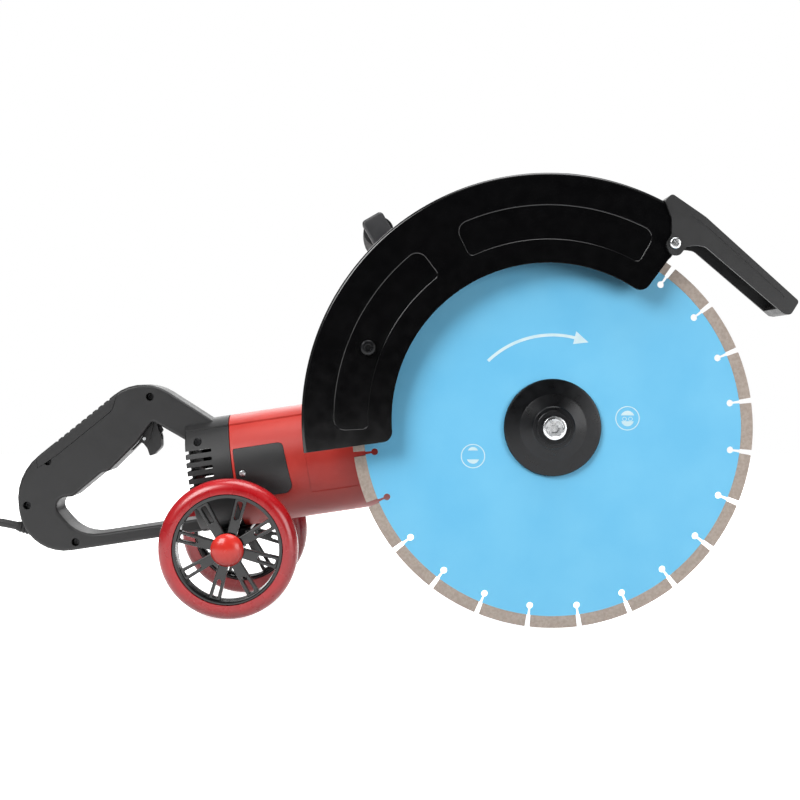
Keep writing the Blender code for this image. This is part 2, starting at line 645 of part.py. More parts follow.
def make_bearings(parent):
    seats = (("spindle_bearing_front", "Y", (0, 0, 0), SPINDLE_BEARING_BORE, SPINDLE_BEARING_RADIUS,
              SPINDLE_BEARING_START, SPINDLE_BEARING_WIDTH),
             ("spindle_bearing_rear", "Y", (0, 0, 0), SPINDLE_TAIL_RADIUS, TAIL_BEARING_RADIUS,
              GEAR_CASE_END - GEAR_CASE_WALL - TAIL_BEARING_WIDTH - GAP, TAIL_BEARING_WIDTH),
             ("motor_bearing_front", "X", (0, MOTOR_AXIS_DEPTH, 0), BEARING_JOURNAL_RADIUS,
              MOTOR_BEARING_RADIUS,
              HOUSING_FRONT + SHIELD_THICKNESS + SHIELD_SEAT_DEPTH - MOTOR_BEARING_WIDTH,
              MOTOR_BEARING_WIDTH),
             ("motor_bearing_rear", "X", (0, MOTOR_AXIS_DEPTH, 0), SHAFT_END_RADIUS, 11 * mm,
              HOUSING_REAR + HOUSING_END_WALL - mm, 7 * mm))
    for name, axis, centre, bore, radius, start, width in seats:
        bearing = ring(name, bore + GAP, radius, start, start + width, axis, centre, "bright steel")
        place(smooth(bearing), parent)


def make_motor_internals(parent):
    centre = (0, MOTOR_AXIS_DEPTH, 0)
    rear = ARMATURE_CENTRE - ARMATURE_LENGTH / 2
    front = ARMATURE_CENTRE + ARMATURE_LENGTH / 2
    stator = ring("stator_pack", ARMATURE_RADIUS + mm, STATOR_RADIUS, rear, front, "X", centre,
                  "laminated steel")
    place(smooth(stator), parent)
    for name, start, reach in (("field_winding_rear", rear - GAP, -13 * mm),
                               ("field_winding_front", front + GAP, 13 * mm)):
        profile = [(31 * mm, start), (STATOR_RADIUS - 2 * mm, start),
                   (STATOR_RADIUS - 4 * mm, start + reach),
                   (33 * mm, start + reach)]
        place(smooth(closed_ring(name, profile, "X", centre, "copper")), parent)
    for side, label in ((-1, "near"), (1, "far")):
        start = MOTOR_AXIS_DEPTH + side * (COMMUTATOR_RADIUS + 3.2 * mm)
        end = MOTOR_AXIS_DEPTH + side * 42 * mm
        low = (COMMUTATOR_CENTRE - 6.5 * mm, min(start, end), -9.5 * mm)
        high = (COMMUTATOR_CENTRE + 6.5 * mm, max(start, end), 9.5 * mm)
        holder = box(f"brush_holder_{label}", low, high, "cast aluminium")
        hole = [(low[0] + 2 * mm, low[1] - mm, low[2] + 2 * mm),
                (high[0] - 2 * mm, high[1] + mm, high[2] - 2 * mm)]
        cut(holder, box("cut", *hole))
        place(holder, parent)
        tip = MOTOR_AXIS_DEPTH + side * (COMMUTATOR_RADIUS + 0.4 * mm)
        back = MOTOR_AXIS_DEPTH + side * 38 * mm
        brush_low = (low[0] + 2 * mm + GAP, min(tip, back), low[2] + 2 * mm + GAP)
        brush_high = (high[0] - 2 * mm - GAP, max(tip, back), high[2] - 2 * mm - GAP)
        place(box(f"carbon_brush_{label}", brush_low, brush_high, "carbon"), parent)


# ---------------------------------------------------------------- housings

def housing_centre():
    return (0, MOTOR_AXIS_DEPTH, -HOUSING_DROP)


def housing_outline(radius, rise=SPINE_RISE):
    """Section across the motor's axis: a circle with a slightly raised spine along the top."""
    top = math.pi / 2
    points = arc((0, 0), radius, top + SPINE_HALF_ANGLE, top + 2 * math.pi - SPINE_HALF_ANGLE, 24)
    points += arc((0, 0), radius + rise, top - SPINE_HALF_ANGLE * 0.97, top + SPINE_HALF_ANGLE * 0.97, 5)
    return points


def along_motor(name, outline, start, end, finish=None, start_edge=0, end_edge=0):
    """Extrudes a section given as (depth, up) about the housing's centre along the motor's axis."""
    made = prism(name, outline, start, end, finish, start_edge, end_edge)
    turn = Matrix(((0, 1, 0, 0), (1, 0, 0, 0), (0, 0, 1, 0), (0, 0, 0, 1)))
    made.data.transform(Matrix.Translation(housing_centre()) @ turn)
    made.data.flip_normals()
    return made


def make_motor_housing(parent):
    outer = housing_outline(HOUSING_RADIUS - SPINE_RISE)
    housing = along_motor("motor_housing", outer, HOUSING_REAR, HOUSING_FRONT, "red plastic", mm, mm)
    axis = (0, MOTOR_AXIS_DEPTH, 0)
    wall = HOUSING_REAR + HOUSING_END_WALL
    tools = [rod("cut", HOUSING_BORE, wall, HOUSING_FRONT + mm, "X", axis, segments=LARGE_FACETS),
             rod("cut", 11 * mm + GAP / 2, wall - mm - GAP, wall + mm, "X", axis, segments=FACETS),
             rod("cut", 7 * mm, HOUSING_REAR - mm, wall + mm, "X", axis)]
    for count in range(4):
        angle = math.radians(45 + 90 * count)
        offset = (0, MOTOR_AXIS_DEPTH + 29 * mm * math.cos(angle), 29 * mm * math.sin(angle))
        tools.append(rod("cut", 8 * mm, HOUSING_REAR - mm, wall + mm, "X", offset, segments=SMALL_FACETS))
    for side in (-1, 1):
        tools.append(cover_pocket(side))
        tools.append(brush_window(side))
    cut(housing, *tools)
    place(smooth(housing), parent)


def cover_outline(grow=0):
    """The cover's outline, grown outwards from its middle by a clearance in millimetres."""
    count = len(COVER_OUTLINE)
    middle = (sum(p[0] for p in COVER_OUTLINE) / count, sum(p[1] for p in COVER_OUTLINE) / count)
    grown = [(x + math.copysign(grow, x - middle[0]), z + math.copysign(grow, z - middle[1]), radius)
             for x, z, radius in COVER_OUTLINE]
    return rounded(grown, step=math.radians(30))


def cover_pocket(side):
    """The shallow step in the housing's side that a cover lies in."""
    shell = ring("cut", HOUSING_RADIUS - SPINE_RISE - COVER_THICKNESS - GAP, HOUSING_RADIUS + 9 * mm,
                 HOUSING_REAR - 5 * mm, -225 * mm, "X", housing_centre(), segments=LARGE_FACETS)
    depths = sorted((MOTOR_AXIS_DEPTH + side * 20 * mm, MOTOR_AXIS_DEPTH + side * 70 * mm))
    return common(shell, prism("cut", cover_outline(0.3), *depths))


def brush_window(side):
    low = COMMUTATOR_CENTRE - 9 * mm
    high = COMMUTATOR_CENTRE + 9 * mm
    depths = sorted((MOTOR_AXIS_DEPTH + side * 30 * mm, MOTOR_AXIS_DEPTH + side * 70 * mm))
    return box("cut", (low, depths[0], -13 * mm), (high, depths[1], 13 * mm))


def make_brush_covers(parent):
    for side, label in ((-1, "near"), (1, "far")):
        shell = ring(f"brush_cover_{label}", HOUSING_RADIUS - SPINE_RISE - COVER_THICKNESS,
                     HOUSING_RADIUS - SPINE_RISE + 0.6 * mm, -292 * mm, -230 * mm, "X", housing_centre(),
                     "black plastic", LARGE_FACETS)
        depths = sorted((MOTOR_AXIS_DEPTH + side * 20 * mm, MOTOR_AXIS_DEPTH + side * 70 * mm))
        cover = common(shell, prism("cut", cover_outline(), *depths))
        along, up = COVER_SCREW
        cut(cover, rod("cut", COVER_SCREW_RADIUS + GAP, *depths, centre=(along, 0, up),
                       segments=SMALL_FACETS))
        place(smooth(cover), parent)
    along, up = COVER_SCREW
    surface = MOTOR_AXIS_DEPTH - HOUSING_RADIUS + SPINE_RISE
    screw = turned("cover_screw", [(0, surface + COVER_THICKNESS - GAP),
                                   (COVER_SCREW_RADIUS, surface + COVER_THICKNESS - GAP),
                                   (COVER_SCREW_RADIUS, surface + 0.4 * mm),
                                   (COVER_SCREW_RADIUS - 0.8 * mm, surface - 0.6 * mm),
                                   (0, surface - 0.6 * mm)], "Y", (along, 0, up), "zinc plated steel",
                                   SMALL_FACETS)
    place(smooth(screw), parent)


def make_gear_case(parent):
    """Cast case: a drum round the crown gear, a neck to the motor, and a boss across for the loop handle."""
    case = rod("gear_case", GEAR_CASE_RADIUS, GEAR_CASE_START, GEAR_CASE_END, finish="cast aluminium",
               segments=LARGE_FACETS)
    axis = (0, MOTOR_AXIS_DEPTH, 0)
    foot = (LOOP_FOOT[0], 0, LOOP_FOOT[1])
    lock = (LOCK_PLACE[0], 0, LOCK_PLACE[1])
    neck = HOUSING_FRONT + SHIELD_THICKNESS + 2 * GAP
    far_end = 2 * MOTOR_AXIS_DEPTH - LOOP_ARM_INNER - GAP
    join(case,
         rod("neck", HOUSING_RADIUS - NECK_STEP, neck, -12 * mm, "X", axis, segments=LARGE_FACETS),
         rod("boss", LOOP_BOSS_RADIUS, LOOP_ARM_INNER + GAP, far_end, centre=foot))
    cavity = GEAR_CASE_RADIUS - GEAR_CASE_WALL
    floor = GEAR_CASE_END - GEAR_CASE_WALL
    seat_end = floor - TAIL_BEARING_WIDTH
    cut(case,
        rod("cut", cavity, GEAR_CASE_START - mm, floor - TAIL_BEARING_WIDTH / 2, segments=LARGE_FACETS),
        rod("cut", TAIL_BEARING_RADIUS + GAP, seat_end, floor),
        rod("cut", NECK_BORE, neck - mm, 0, "X", axis, segments=LARGE_FACETS),
        rod("cut", LOCK_RADIUS + GAP, seat_end, GEAR_CASE_END + mm, centre=lock, segments=SMALL_FACETS),
        rod("cut", LOCK_CAP_RADIUS + GAP, GEAR_CASE_END - 1.5 * mm, GEAR_CASE_END + mm, centre=lock))
    for side in (-1, 1):
        start = MOTOR_AXIS_DEPTH + side * (MOTOR_AXIS_DEPTH - LOOP_ARM_INNER + mm)
        depths = sorted((start, start - side * LOOP_THREAD_DEPTH))
        cut(case, rod("cut", LOOP_BOLT_RADIUS + GAP, *depths, centre=foot, segments=SMALL_FACETS))
    place(smooth(case), parent)


def make_spindle_lock(parent):
    """Push pin in the far side of the gear case, over the crown gear."""
    tip = MOTOR_AXIS_DEPTH + 6 * mm
    cap = GEAR_CASE_END + LOCK_TRAVEL - 0.7 * mm
    profile = [(0, tip), (LOCK_RADIUS - mm, tip), (LOCK_RADIUS, tip + mm), (LOCK_RADIUS, cap),
               (LOCK_CAP_RADIUS, cap),
               (LOCK_CAP_RADIUS, cap + 4 * mm), (LOCK_CAP_RADIUS - 1.5 * mm, cap + 5.5 * mm),
               (0, cap + 6 * mm)]
    button = turned("spindle_lock_button", profile, "Y", (LOCK_PLACE[0], 0, LOCK_PLACE[1]), "black plastic")
    place(smooth(button), parent, (LOCK_PLACE[0], cap, LOCK_PLACE[1]))


def make_bearing_shield(parent):
    start = HOUSING_FRONT + GAP
    end = start + SHIELD_THICKNESS
    axis = (0, MOTOR_AXIS_DEPTH, 0)
    seat = MOTOR_BEARING_RADIUS + GAP / 2
    boss = SHIELD_BOSS_RADIUS
    rim = HOUSING_RADIUS - NECK_STEP
    profile = [(seat, start - 3 * mm), (boss, start - 3 * mm), (boss, start), (rim, start), (rim, end),
               (boss, end), (boss, end + 4 * mm), (9 * mm, end + 4 * mm), (9 * mm, end + SHIELD_SEAT_DEPTH),
               (seat, end + SHIELD_SEAT_DEPTH)]
    place(smooth(closed_ring("bearing_shield", profile, "X", axis, "cast aluminium")), parent)


def make_spindle_carrier(parent):
    """Cover of the gear case, with the neck that the guard is clamped on and the main bearing's seat."""
    flange_end = GEAR_CASE_START - GAP
    seat = SPINDLE_BEARING_RADIUS + GAP / 2
    bearing_end = SPINDLE_BEARING_START + SPINDLE_BEARING_WIDTH
    profile = [(SPINDLE_BEARING_BORE + 1.5 * mm, CARRIER_NECK_START),
               (CARRIER_NECK_RADIUS, CARRIER_NECK_START),
               (CARRIER_NECK_RADIUS, flange_end - 6 * mm), (GEAR_CASE_RADIUS, flange_end - 6 * mm),
               (GEAR_CASE_RADIUS, flange_end), (GEAR_CASE_RADIUS - GEAR_CASE_WALL - GAP, flange_end),
               (GEAR_CASE_RADIUS - GEAR_CASE_WALL - GAP, bearing_end + mm), (seat, bearing_end + mm),
               (seat, SPINDLE_BEARING_START - GAP),
               (SPINDLE_BEARING_BORE + 1.5 * mm, SPINDLE_BEARING_START - GAP)]
    place(smooth(closed_ring("spindle_carrier", profile, "Y", finish="cast aluminium")), parent)


# ---------------------------------------------------------------- rear handle

def handle_outline():
    return rounded(HANDLE_OUTSIDE + HANDLE_INSIDE, step=math.radians(20))


def handle_half(name, near, far, outer_is_near, parent):
    """One of the two shells: a D-shaped grip, and half of the louvred collar behind the motor."""
    edges = (HANDLE_EDGE, 0) if outer_is_near else (0, HANDLE_EDGE)
    half = prism(name, handle_outline(), near, far, "black plastic", *edges)
    collar_front = HOUSING_REAR - GAP
    section = housing_outline(HOUSING_RADIUS - SPINE_RISE)
    collar = along_motor("collar", section, COLLAR_REAR, collar_front, None, 3 * mm, 0)
    split = MOTOR_AXIS_DEPTH
    depths = (split - 90 * mm, split - GAP / 2) if outer_is_near else (split + GAP / 2, split + 90 * mm)
    common(collar, box("side", (-400 * mm, depths[0], -90 * mm), (-200 * mm, depths[1], 90 * mm)))
    join(half, collar)
    inner = HOUSING_RADIUS - SPINE_RISE - COLLAR_WALL
    tools = [rod("cut", inner, COLLAR_REAR + COLLAR_WALL, collar_front + mm, "X", housing_centre(),
                 segments=LARGE_FACETS)]
    tools += louvres()
    bay = SWITCH_BAY_WIDTH / 2
    tools.append(prism("cut", rounded(SWITCH_BAY), split - bay, split + bay))
    tools.append(inlay_cutter())
    slot = TRIGGER_WIDTH / 2 + 0.8 * mm
    tools.append(prism("cut", trigger_slot_outline(), split - slot, split + slot))
    for along, up in HANDLE_SCREWS:
        surface = near if outer_is_near else far
        inward = SCREW_RECESS_DEPTH if outer_is_near else -SCREW_RECESS_DEPTH
        if (along, up) == HANDLE_SCREWS[-1]:
            surface = split - 52 * mm if outer_is_near else split + 52 * mm
            inward *= 2
        ends = sorted((surface - inward, surface + inward))
        tools.append(rod("cut", SCREW_RECESS_RADIUS, *ends, centre=(along * mm, 0, up * mm),
                         segments=SMALL_FACETS))
    tools.append(rod("cut", TRIGGER_PIN_RADIUS + GAP / 2, split - TRIGGER_PIN_REACH,
                     split + TRIGGER_PIN_REACH,
                     centre=(TRIGGER_PIVOT[0], 0, TRIGGER_PIVOT[1]), segments=SMALL_FACETS))
    tools.append(gland_shape("cut", GAP))
    cut(half, *tools)
    place(smooth(half), parent)


def louvres():
    """Air slots that wrap round the rear of the collar."""
    slots = []
    for count in range(LOUVRE_COUNT):
        up = LOUVRE_TOP - count * LOUVRE_PITCH
        low = (COLLAR_REAR - 2 * mm, MOTOR_AXIS_DEPTH - 70 * mm, up - LOUVRE_HEIGHT / 2)
        near_high = (LOUVRE_FRONT, MOTOR_AXIS_DEPTH - HANDLE_THICKNESS / 2 - 3 * mm, up + LOUVRE_HEIGHT / 2)
        slots.append(box("cut", low, near_high))
        far_low = (low[0], MOTOR_AXIS_DEPTH + HANDLE_THICKNESS / 2 + 3 * mm, low[2])
        slots.append(box("cut", far_low, (LOUVRE_FRONT, MOTOR_AXIS_DEPTH + 70 * mm, near_high[2])))
    return slots


def trigger_slot_outline():
    """Room for the trigger to swing in, open at the underside of the grip."""
    return rounded(((-352, 70, 2), (-390, 52, 2), (-388, 28, 1), (-352, 44, 0), (-354.5, 58, 1)))


def inlay_cutter():
    reach = HANDLE_THICKNESS / 2 + mm
    return prism("cut", rounded(INLAY_OUTLINE), MOTOR_AXIS_DEPTH - reach, MOTOR_AXIS_DEPTH + reach)


def make_grip_inlay(parent):
    """Soft strip along the back of the grip, ribbed across."""
    half = HANDLE_THICKNESS / 2
    near, far = MOTOR_AXIS_DEPTH - half, MOTOR_AXIS_DEPTH + half
    inlay = prism("grip_inlay", handle_outline(), near, far, "soft black rubber", HANDLE_EDGE, HANDLE_EDGE)
    smaller = [(x + dx * GAP / mm, z + dz * GAP / mm, r)
               for (x, z, r), (dx, dz) in zip(INLAY_OUTLINE, ((0, 0), (1, 0), (1, 1), (0, 1.2), (-1, 1.2),
                                                              (-1, 0)))]
    common(inlay, prism("keep", rounded(smaller), near - mm, far + mm))
    direction = Vector((math.cos(GRIP_LINE_ANGLE), math.sin(GRIP_LINE_ANGLE)))
    outward = Vector((-direction.y, direction.x)) * -1
    for count in range(GRIP_RIB_COUNT + 1):
        spot = Vector(GRIP_LINE_START) + direction * (GRIP_RIB_PITCH * (count + 0.4)) + outward * 0.5 * mm
        cut(inlay, rod("cut", GRIP_RIB_RADIUS, near - mm, far + mm, centre=(spot.x, 0, spot.y),
                       segments=10))
    place(smooth(inlay), parent)


def make_switch(parent):
    half = SWITCH_BAY_WIDTH / 2 - GAP
    switch = prism("switch_module", rounded(SWITCH_OUTLINE), MOTOR_AXIS_DEPTH - half,
                   MOTOR_AXIS_DEPTH + half,
                   "grey plastic")
    place(switch, parent)
    reach = TRIGGER_PIN_REACH - GAP
    pin = rod("trigger_pin", TRIGGER_PIN_RADIUS, MOTOR_AXIS_DEPTH - reach, MOTOR_AXIS_DEPTH + reach,
              centre=(TRIGGER_PIVOT[0], 0, TRIGGER_PIVOT[1]), finish="bright steel", segments=SMALL_FACETS)
    place(smooth(pin), parent)


def make_trigger(parent):
    half = TRIGGER_WIDTH / 2
    near, far = MOTOR_AXIS_DEPTH - half, MOTOR_AXIS_DEPTH + half
    trigger = prism("trigger", rounded(TRIGGER_OUTLINE), near, far, "black plastic", 0.8 * mm, 0.8 * mm)
    slot = LEVER_WIDTH / 2 + GAP
    pivot = (TRIGGER_PIVOT[0], 0, TRIGGER_PIVOT[1])
    cut(trigger,
        prism("cut", rounded(((-377.6, 45.5, 1), (-377.6, 35, 0), (-370.2, 35, 0), (-350, 39.5, 0),
                              (-350, 55, 0),
                              (-366, 55, 1))), MOTOR_AXIS_DEPTH - slot, MOTOR_AXIS_DEPTH + slot),
        rod("cut", TRIGGER_PIN_RADIUS + GAP / 3, near - mm, far + mm, centre=pivot, segments=SMALL_FACETS))
    place(smooth(trigger), parent, (TRIGGER_PIVOT[0], MOTOR_AXIS_DEPTH, TRIGGER_PIVOT[1]))


def make_lever(parent):
    half = LEVER_WIDTH / 2
    lever = prism("lock_off_lever", rounded(LEVER_OUTLINE), MOTOR_AXIS_DEPTH - half,
                  MOTOR_AXIS_DEPTH + half,
                  "grey plastic")
    place(smooth(lever), parent, (LEVER_PIVOT[0], MOTOR_AXIS_DEPTH, LEVER_PIVOT[1]))


# ---------------------------------------------------------------- front loop handle

def loop_arm_outline():
    """Side view of an arm: a round foot on the gear case, a knee and a long slanted limb."""
    foot, knee, top = Vector(LOOP_FOOT), Vector(LOOP_KNEE), Vector(LOOP_TOP)
    half = LOOP_ARM_WIDTH / 2
    lean = (top - knee).normalized()
    side = Vector((lean.y, -lean.x)) * half
    end = top + lean * 14 * mm
    rise = Vector(((knee - foot).normalized().y, -(knee - foot).normalized().x)) * half
    flat = [foot + rise, knee + (rise + side) / 2, end + side, end - side, knee - (rise + side) / 2,
            foot - rise]
    radii = (0, 20, 4, 4, 20, 0)
    corners = [(p.x / mm, p.y / mm, r) for p, r in zip(flat, radii)]
    return rounded(corners)


def make_loop_handle(parent):
    outer = LOOP_ARM_INNER - LOOP_ARM_THICKNESS
    seat = outer + LOOP_COUNTERBORE_DEPTH
    mirror = 2 * MOTOR_AXIS_DEPTH
    foot = (LOOP_FOOT[0], 0, LOOP_FOOT[1])
    handle = prism("loop_handle", loop_arm_outline(), outer, LOOP_ARM_INNER, "grey plastic", 2.5 * mm,
                   1.5 * mm)
    far_arm = prism("arm", loop_arm_outline(), mirror - LOOP_ARM_INNER, mirror - outer, None, 1.5 * mm,
                    2.5 * mm)
    bar = rod("bar", LOOP_BAR_RADIUS, LOOP_ARM_INNER - 4 * mm, mirror - LOOP_ARM_INNER + 4 * mm,
              centre=(LOOP_TOP[0], 0, LOOP_TOP[1]))
    join(handle, bar, far_arm,
         rod("foot", LOOP_BOSS_RADIUS, outer, LOOP_ARM_INNER, centre=foot),
         rod("foot", LOOP_BOSS_RADIUS, mirror - LOOP_ARM_INNER, mirror - outer, centre=foot))
    cut(handle,
        rod("cut", LOOP_BOLT_RADIUS + GAP, outer - mm, mirror - outer + mm, centre=foot,
            segments=SMALL_FACETS),
        rod("cut", LOOP_COUNTERBORE_RADIUS, outer - mm, seat, centre=foot),
        rod("cut", LOOP_COUNTERBORE_RADIUS, mirror - seat, mirror - outer + mm, centre=foot))
    place(smooth(handle), parent)
    start, end = LOOP_ARM_INNER + mm, mirror - LOOP_ARM_INNER - mm
    profile = [(LOOP_BAR_RADIUS + GAP, start), (LOOP_GRIP_RADIUS, start),
               (LOOP_GRIP_RADIUS + mm, MOTOR_AXIS_DEPTH),
               (LOOP_GRIP_RADIUS, end), (LOOP_BAR_RADIUS + GAP, end)]
    grip = closed_ring("loop_grip", profile, "Y", (LOOP_TOP[0], 0, LOOP_TOP[1]), "soft black rubber")
    place(smooth(grip), parent)
    make_loop_bolt("near", seat - GAP, 1, foot, parent)
    make_loop_bolt("far", mirror - seat + GAP, -1, foot, parent)


def make_loop_bolt(label, under_head, inward, foot, parent):
    """Socket bolt through an arm's foot into the gear case."""
    tip = under_head + inward * (LOOP_ARM_THICKNESS - LOOP_COUNTERBORE_DEPTH + LOOP_THREAD_DEPTH - 2 * mm)
    top = under_head - inward * LOOP_BOLT_HEAD_HEIGHT
    profile = [(0, tip), (LOOP_BOLT_RADIUS, tip), (LOOP_BOLT_RADIUS, under_head),
               (LOOP_BOLT_HEAD_RADIUS, under_head),
               (LOOP_BOLT_HEAD_RADIUS, top), (0, top)]
    place(smooth(turned(f"loop_bolt_{label}", profile, "Y", foot, "bright steel", SMALL_FACETS)), parent)


# ---------------------------------------------------------------- guard and deflector

def guard_sector(inner, outer):
    """Outline of a guard plate, from the front end round the top to the rear end."""
    points = [Vector(GUARD_CENTRE) + polar(radius * mm, math.radians(degrees)) for radius,
              degrees in GUARD_NOSE]
    points += arc(GUARD_CENTRE, outer, GUARD_RIM_END, GUARD_REAR_END, 26)
    if inner:
        corner = 9 * mm
        spread = corner / inner
        points += [Vector(GUARD_CENTRE) + polar(inner + corner, GUARD_REAR_END),
                   Vector(GUARD_CENTRE) + polar(inner + corner * 0.3, GUARD_REAR_END - spread * 0.3)]
        points += arc(GUARD_CENTRE, inner, GUARD_REAR_END - spread, GUARD_FRONT_END + spread, 18)
        points += [Vector(GUARD_CENTRE) + polar(inner + corner * 0.3, GUARD_FRONT_END + spread * 0.3),
                   Vector(GUARD_CENTRE) + polar(inner + corner, GUARD_FRONT_END)]
    else:
        points.append(Vector(GUARD_CENTRE))
    return points


def polar(radius, angle):
    return Vector((math.cos(angle), math.sin(angle))) * radius


def guard_shell(name, plate_depth, seam_depth, outline):
    """Half of the guard: a plate with the rim folded over along its outer arc."""
    near, far = sorted((plate_depth, seam_depth))
    front = plate_depth < seam_depth
    shell = prism(name, outline, near, far, "gloss black steel")
    bevel_outer_arc(shell, plate_depth)
    inside = GUARD_SHEET if front else -GUARD_SHEET
    hollow = sorted((plate_depth + inside, seam_depth + (mm if front else -mm)))
    room = arc(GUARD_CENTRE, GUARD_OUTER - GUARD_SHEET, math.radians(20), math.radians(215), 34)
    room.append(Vector((GUARD_CENTRE[0] - 40 * mm, GUARD_CENTRE[1] - 190 * mm)))
    cut(shell, prism("cut", room, *hollow))
    return shell


def bevel_outer_arc(obj, depth):
    """Rounds the fold between a guard plate and its rim."""
    bm = bmesh.new()
    bm.from_mesh(obj.data)
    centre = Vector((GUARD_CENTRE[0], depth, GUARD_CENTRE[1]))
    on_rim = {v for v in bm.verts
              if abs(v.co.y - depth) < 1e-7 and abs((v.co - centre).length - GUARD_OUTER) < 1e-6}
    rim = [e for e in bm.edges if on_rim.issuperset(e.verts)]
    bmesh.ops.bevel(bm, geom=rim, offset=GUARD_EDGE, segments=2, profile=0.5, affect="EDGES")
    bm.to_mesh(obj.data)
    bm.free()


def make_guard(parent):
    near = -GUARD_HALF_WIDTH
    front = guard_shell("guard_front", near, -GAP / 2, guard_sector(GUARD_INNER, GUARD_OUTER))
    for start, end in POCKET_ANGLES:
        edge = arc(GUARD_CENTRE, POCKET_RADII[1], math.radians(start + 3), math.radians(end - 3), 12)
        edge += arc(GUARD_CENTRE, POCKET_RADII[0], math.radians(end), math.radians(start), 12)
        cut(front, prism("cut", edge, near - mm, near + POCKET_DEPTH))
    cut(front, guard_bolt_hole(), flap_hole())
    place(smooth(front), parent)
    rear = guard_shell("guard_rear", GUARD_HALF_WIDTH, GAP / 2, guard_sector(0, GUARD_OUTER))
    inner_face = GUARD_HALF_WIDTH - GUARD_SHEET
    bore = CARRIER_NECK_RADIUS + GAP
    collar_end = GUARD_HALF_WIDTH + GUARD_COLLAR_LENGTH
    join(rear,
         rod("web", GUARD_WEB_RADIUS, inner_face, GUARD_HALF_WIDTH, segments=LARGE_FACETS),
         rod("collar", bore + GUARD_COLLAR_WALL, inner_face, collar_end, segments=LARGE_FACETS))
    cut(rear, rod("cut", bore, inner_face - mm, collar_end + mm, segments=LARGE_FACETS), flap_hole())
    place(smooth(rear), parent)
    make_guard_clamp(parent, bore + GUARD_COLLAR_WALL + GAP)
    make_guard_bolt(parent)


def guard_bolt_hole():
    centre = (GUARD_BOLT_PLACE[0], 0, GUARD_BOLT_PLACE[1])
    return rod("cut", GUARD_BOLT_SHANK + GAP, -GUARD_HALF_WIDTH - 5 * mm, -GUARD_HALF_WIDTH + 5 * mm,
               centre=centre,
               segments=SMALL_FACETS)


def flap_hole():
    reach = GUARD_HALF_WIDTH + 5 * mm
    return rod("cut", FLAP_SCREW_RADIUS + GAP, -reach, reach, centre=(FLAP_PIVOT[0], 0, FLAP_PIVOT[1]),
               segments=SMALL_FACETS)


def make_guard_clamp(parent, bore):
    """Split band round the collar, with two lugs for its screw."""
    start = GUARD_HALF_WIDTH + 1.5 * mm
    end = start + CLAMP_WIDTH
    outer = bore + CLAMP_THICKNESS
    clamp = ring("guard_clamp", bore, outer, start, end, finish="black oxide steel", segments=LARGE_FACETS)
    for lug in (-9, 3):
        low = (lug * mm, start, -outer - 11 * mm)
        join(clamp, box("lug", low, (lug * mm + 6 * mm, end, -outer + 1.5 * mm)))
    cut(clamp, box("cut", (-3 * mm, start - mm, -outer - 14 * mm), (3 * mm, end + mm, -bore + 4 * mm)))
    place(smooth(clamp), parent)


def make_guard_bolt(parent):
    """Socket bolt through the front plate, with its nut inside, short of the blade."""
    centre = (GUARD_BOLT_PLACE[0], 0, GUARD_BOLT_PLACE[1])
    under_head = -GUARD_HALF_WIDTH - GAP
    top = under_head - GUARD_BOLT_HEIGHT
    nut = under_head + GUARD_SHEET + 2 * GAP
    profile = [(0, top), (GUARD_BOLT_RADIUS - mm, top), (GUARD_BOLT_RADIUS, top + mm),
               (GUARD_BOLT_RADIUS, under_head),
               (GUARD_BOLT_SHANK, under_head), (GUARD_BOLT_SHANK, nut), (GUARD_NUT_RADIUS, nut),
               (GUARD_NUT_RADIUS, nut + GUARD_BOLT_HEIGHT), (0, nut + GUARD_BOLT_HEIGHT)]
    bolt = turned("guard_bolt", profile, "Y", centre, "black oxide steel", SMALL_FACETS)
    cut(bolt, rod("cut", GUARD_BOLT_SHANK, top - mm, top + 2.5 * mm, centre=centre, segments=6))
    place(smooth(bolt), parent)


def make_deflector(flap_frame, guard_frame):
    """Moulded channel hinged on the guard's front end, outside the guard's plates."""
    inner = GUARD_HALF_WIDTH + GAP
    outer = inner + FLAP_WALL
    pivot = (FLAP_PIVOT[0], 0, FLAP_PIVOT[1])
    flap = prism("deflector", rounded(FLAP_OUTLINE), -outer, outer, "black plastic", 0.8 * mm, 0.8 * mm, 1)
    cut(flap,
        prism("cut", rounded(FLAP_CHANNEL), -inner, inner),
        rod("cut", FLAP_SCREW_RADIUS + GAP / 2, -outer - mm, outer + mm, centre=pivot,
            segments=SMALL_FACETS))
    place(smooth(flap), flap_frame, pivot)
    head = outer + GAP
    profile = [(0, -head - 3 * mm), (FLAP_SCREW_HEAD - mm, -head - 3 * mm),
               (FLAP_SCREW_HEAD, -head - 2 * mm),
               (FLAP_SCREW_HEAD, -head), (FLAP_SCREW_RADIUS, -head), (FLAP_SCREW_RADIUS, head),
               (5.4 * mm, head),
               (5.4 * mm, head + 4 * mm), (0, head + 4 * mm)]
    place(smooth(turned("deflector_screw", profile, "Y", pivot, "bright steel", SMALL_FACETS)), guard_frame)


# ---------------------------------------------------------------- wheels

def wheel_centre_up():
    return WHEEL_RADIUS - SPINDLE_HEIGHT


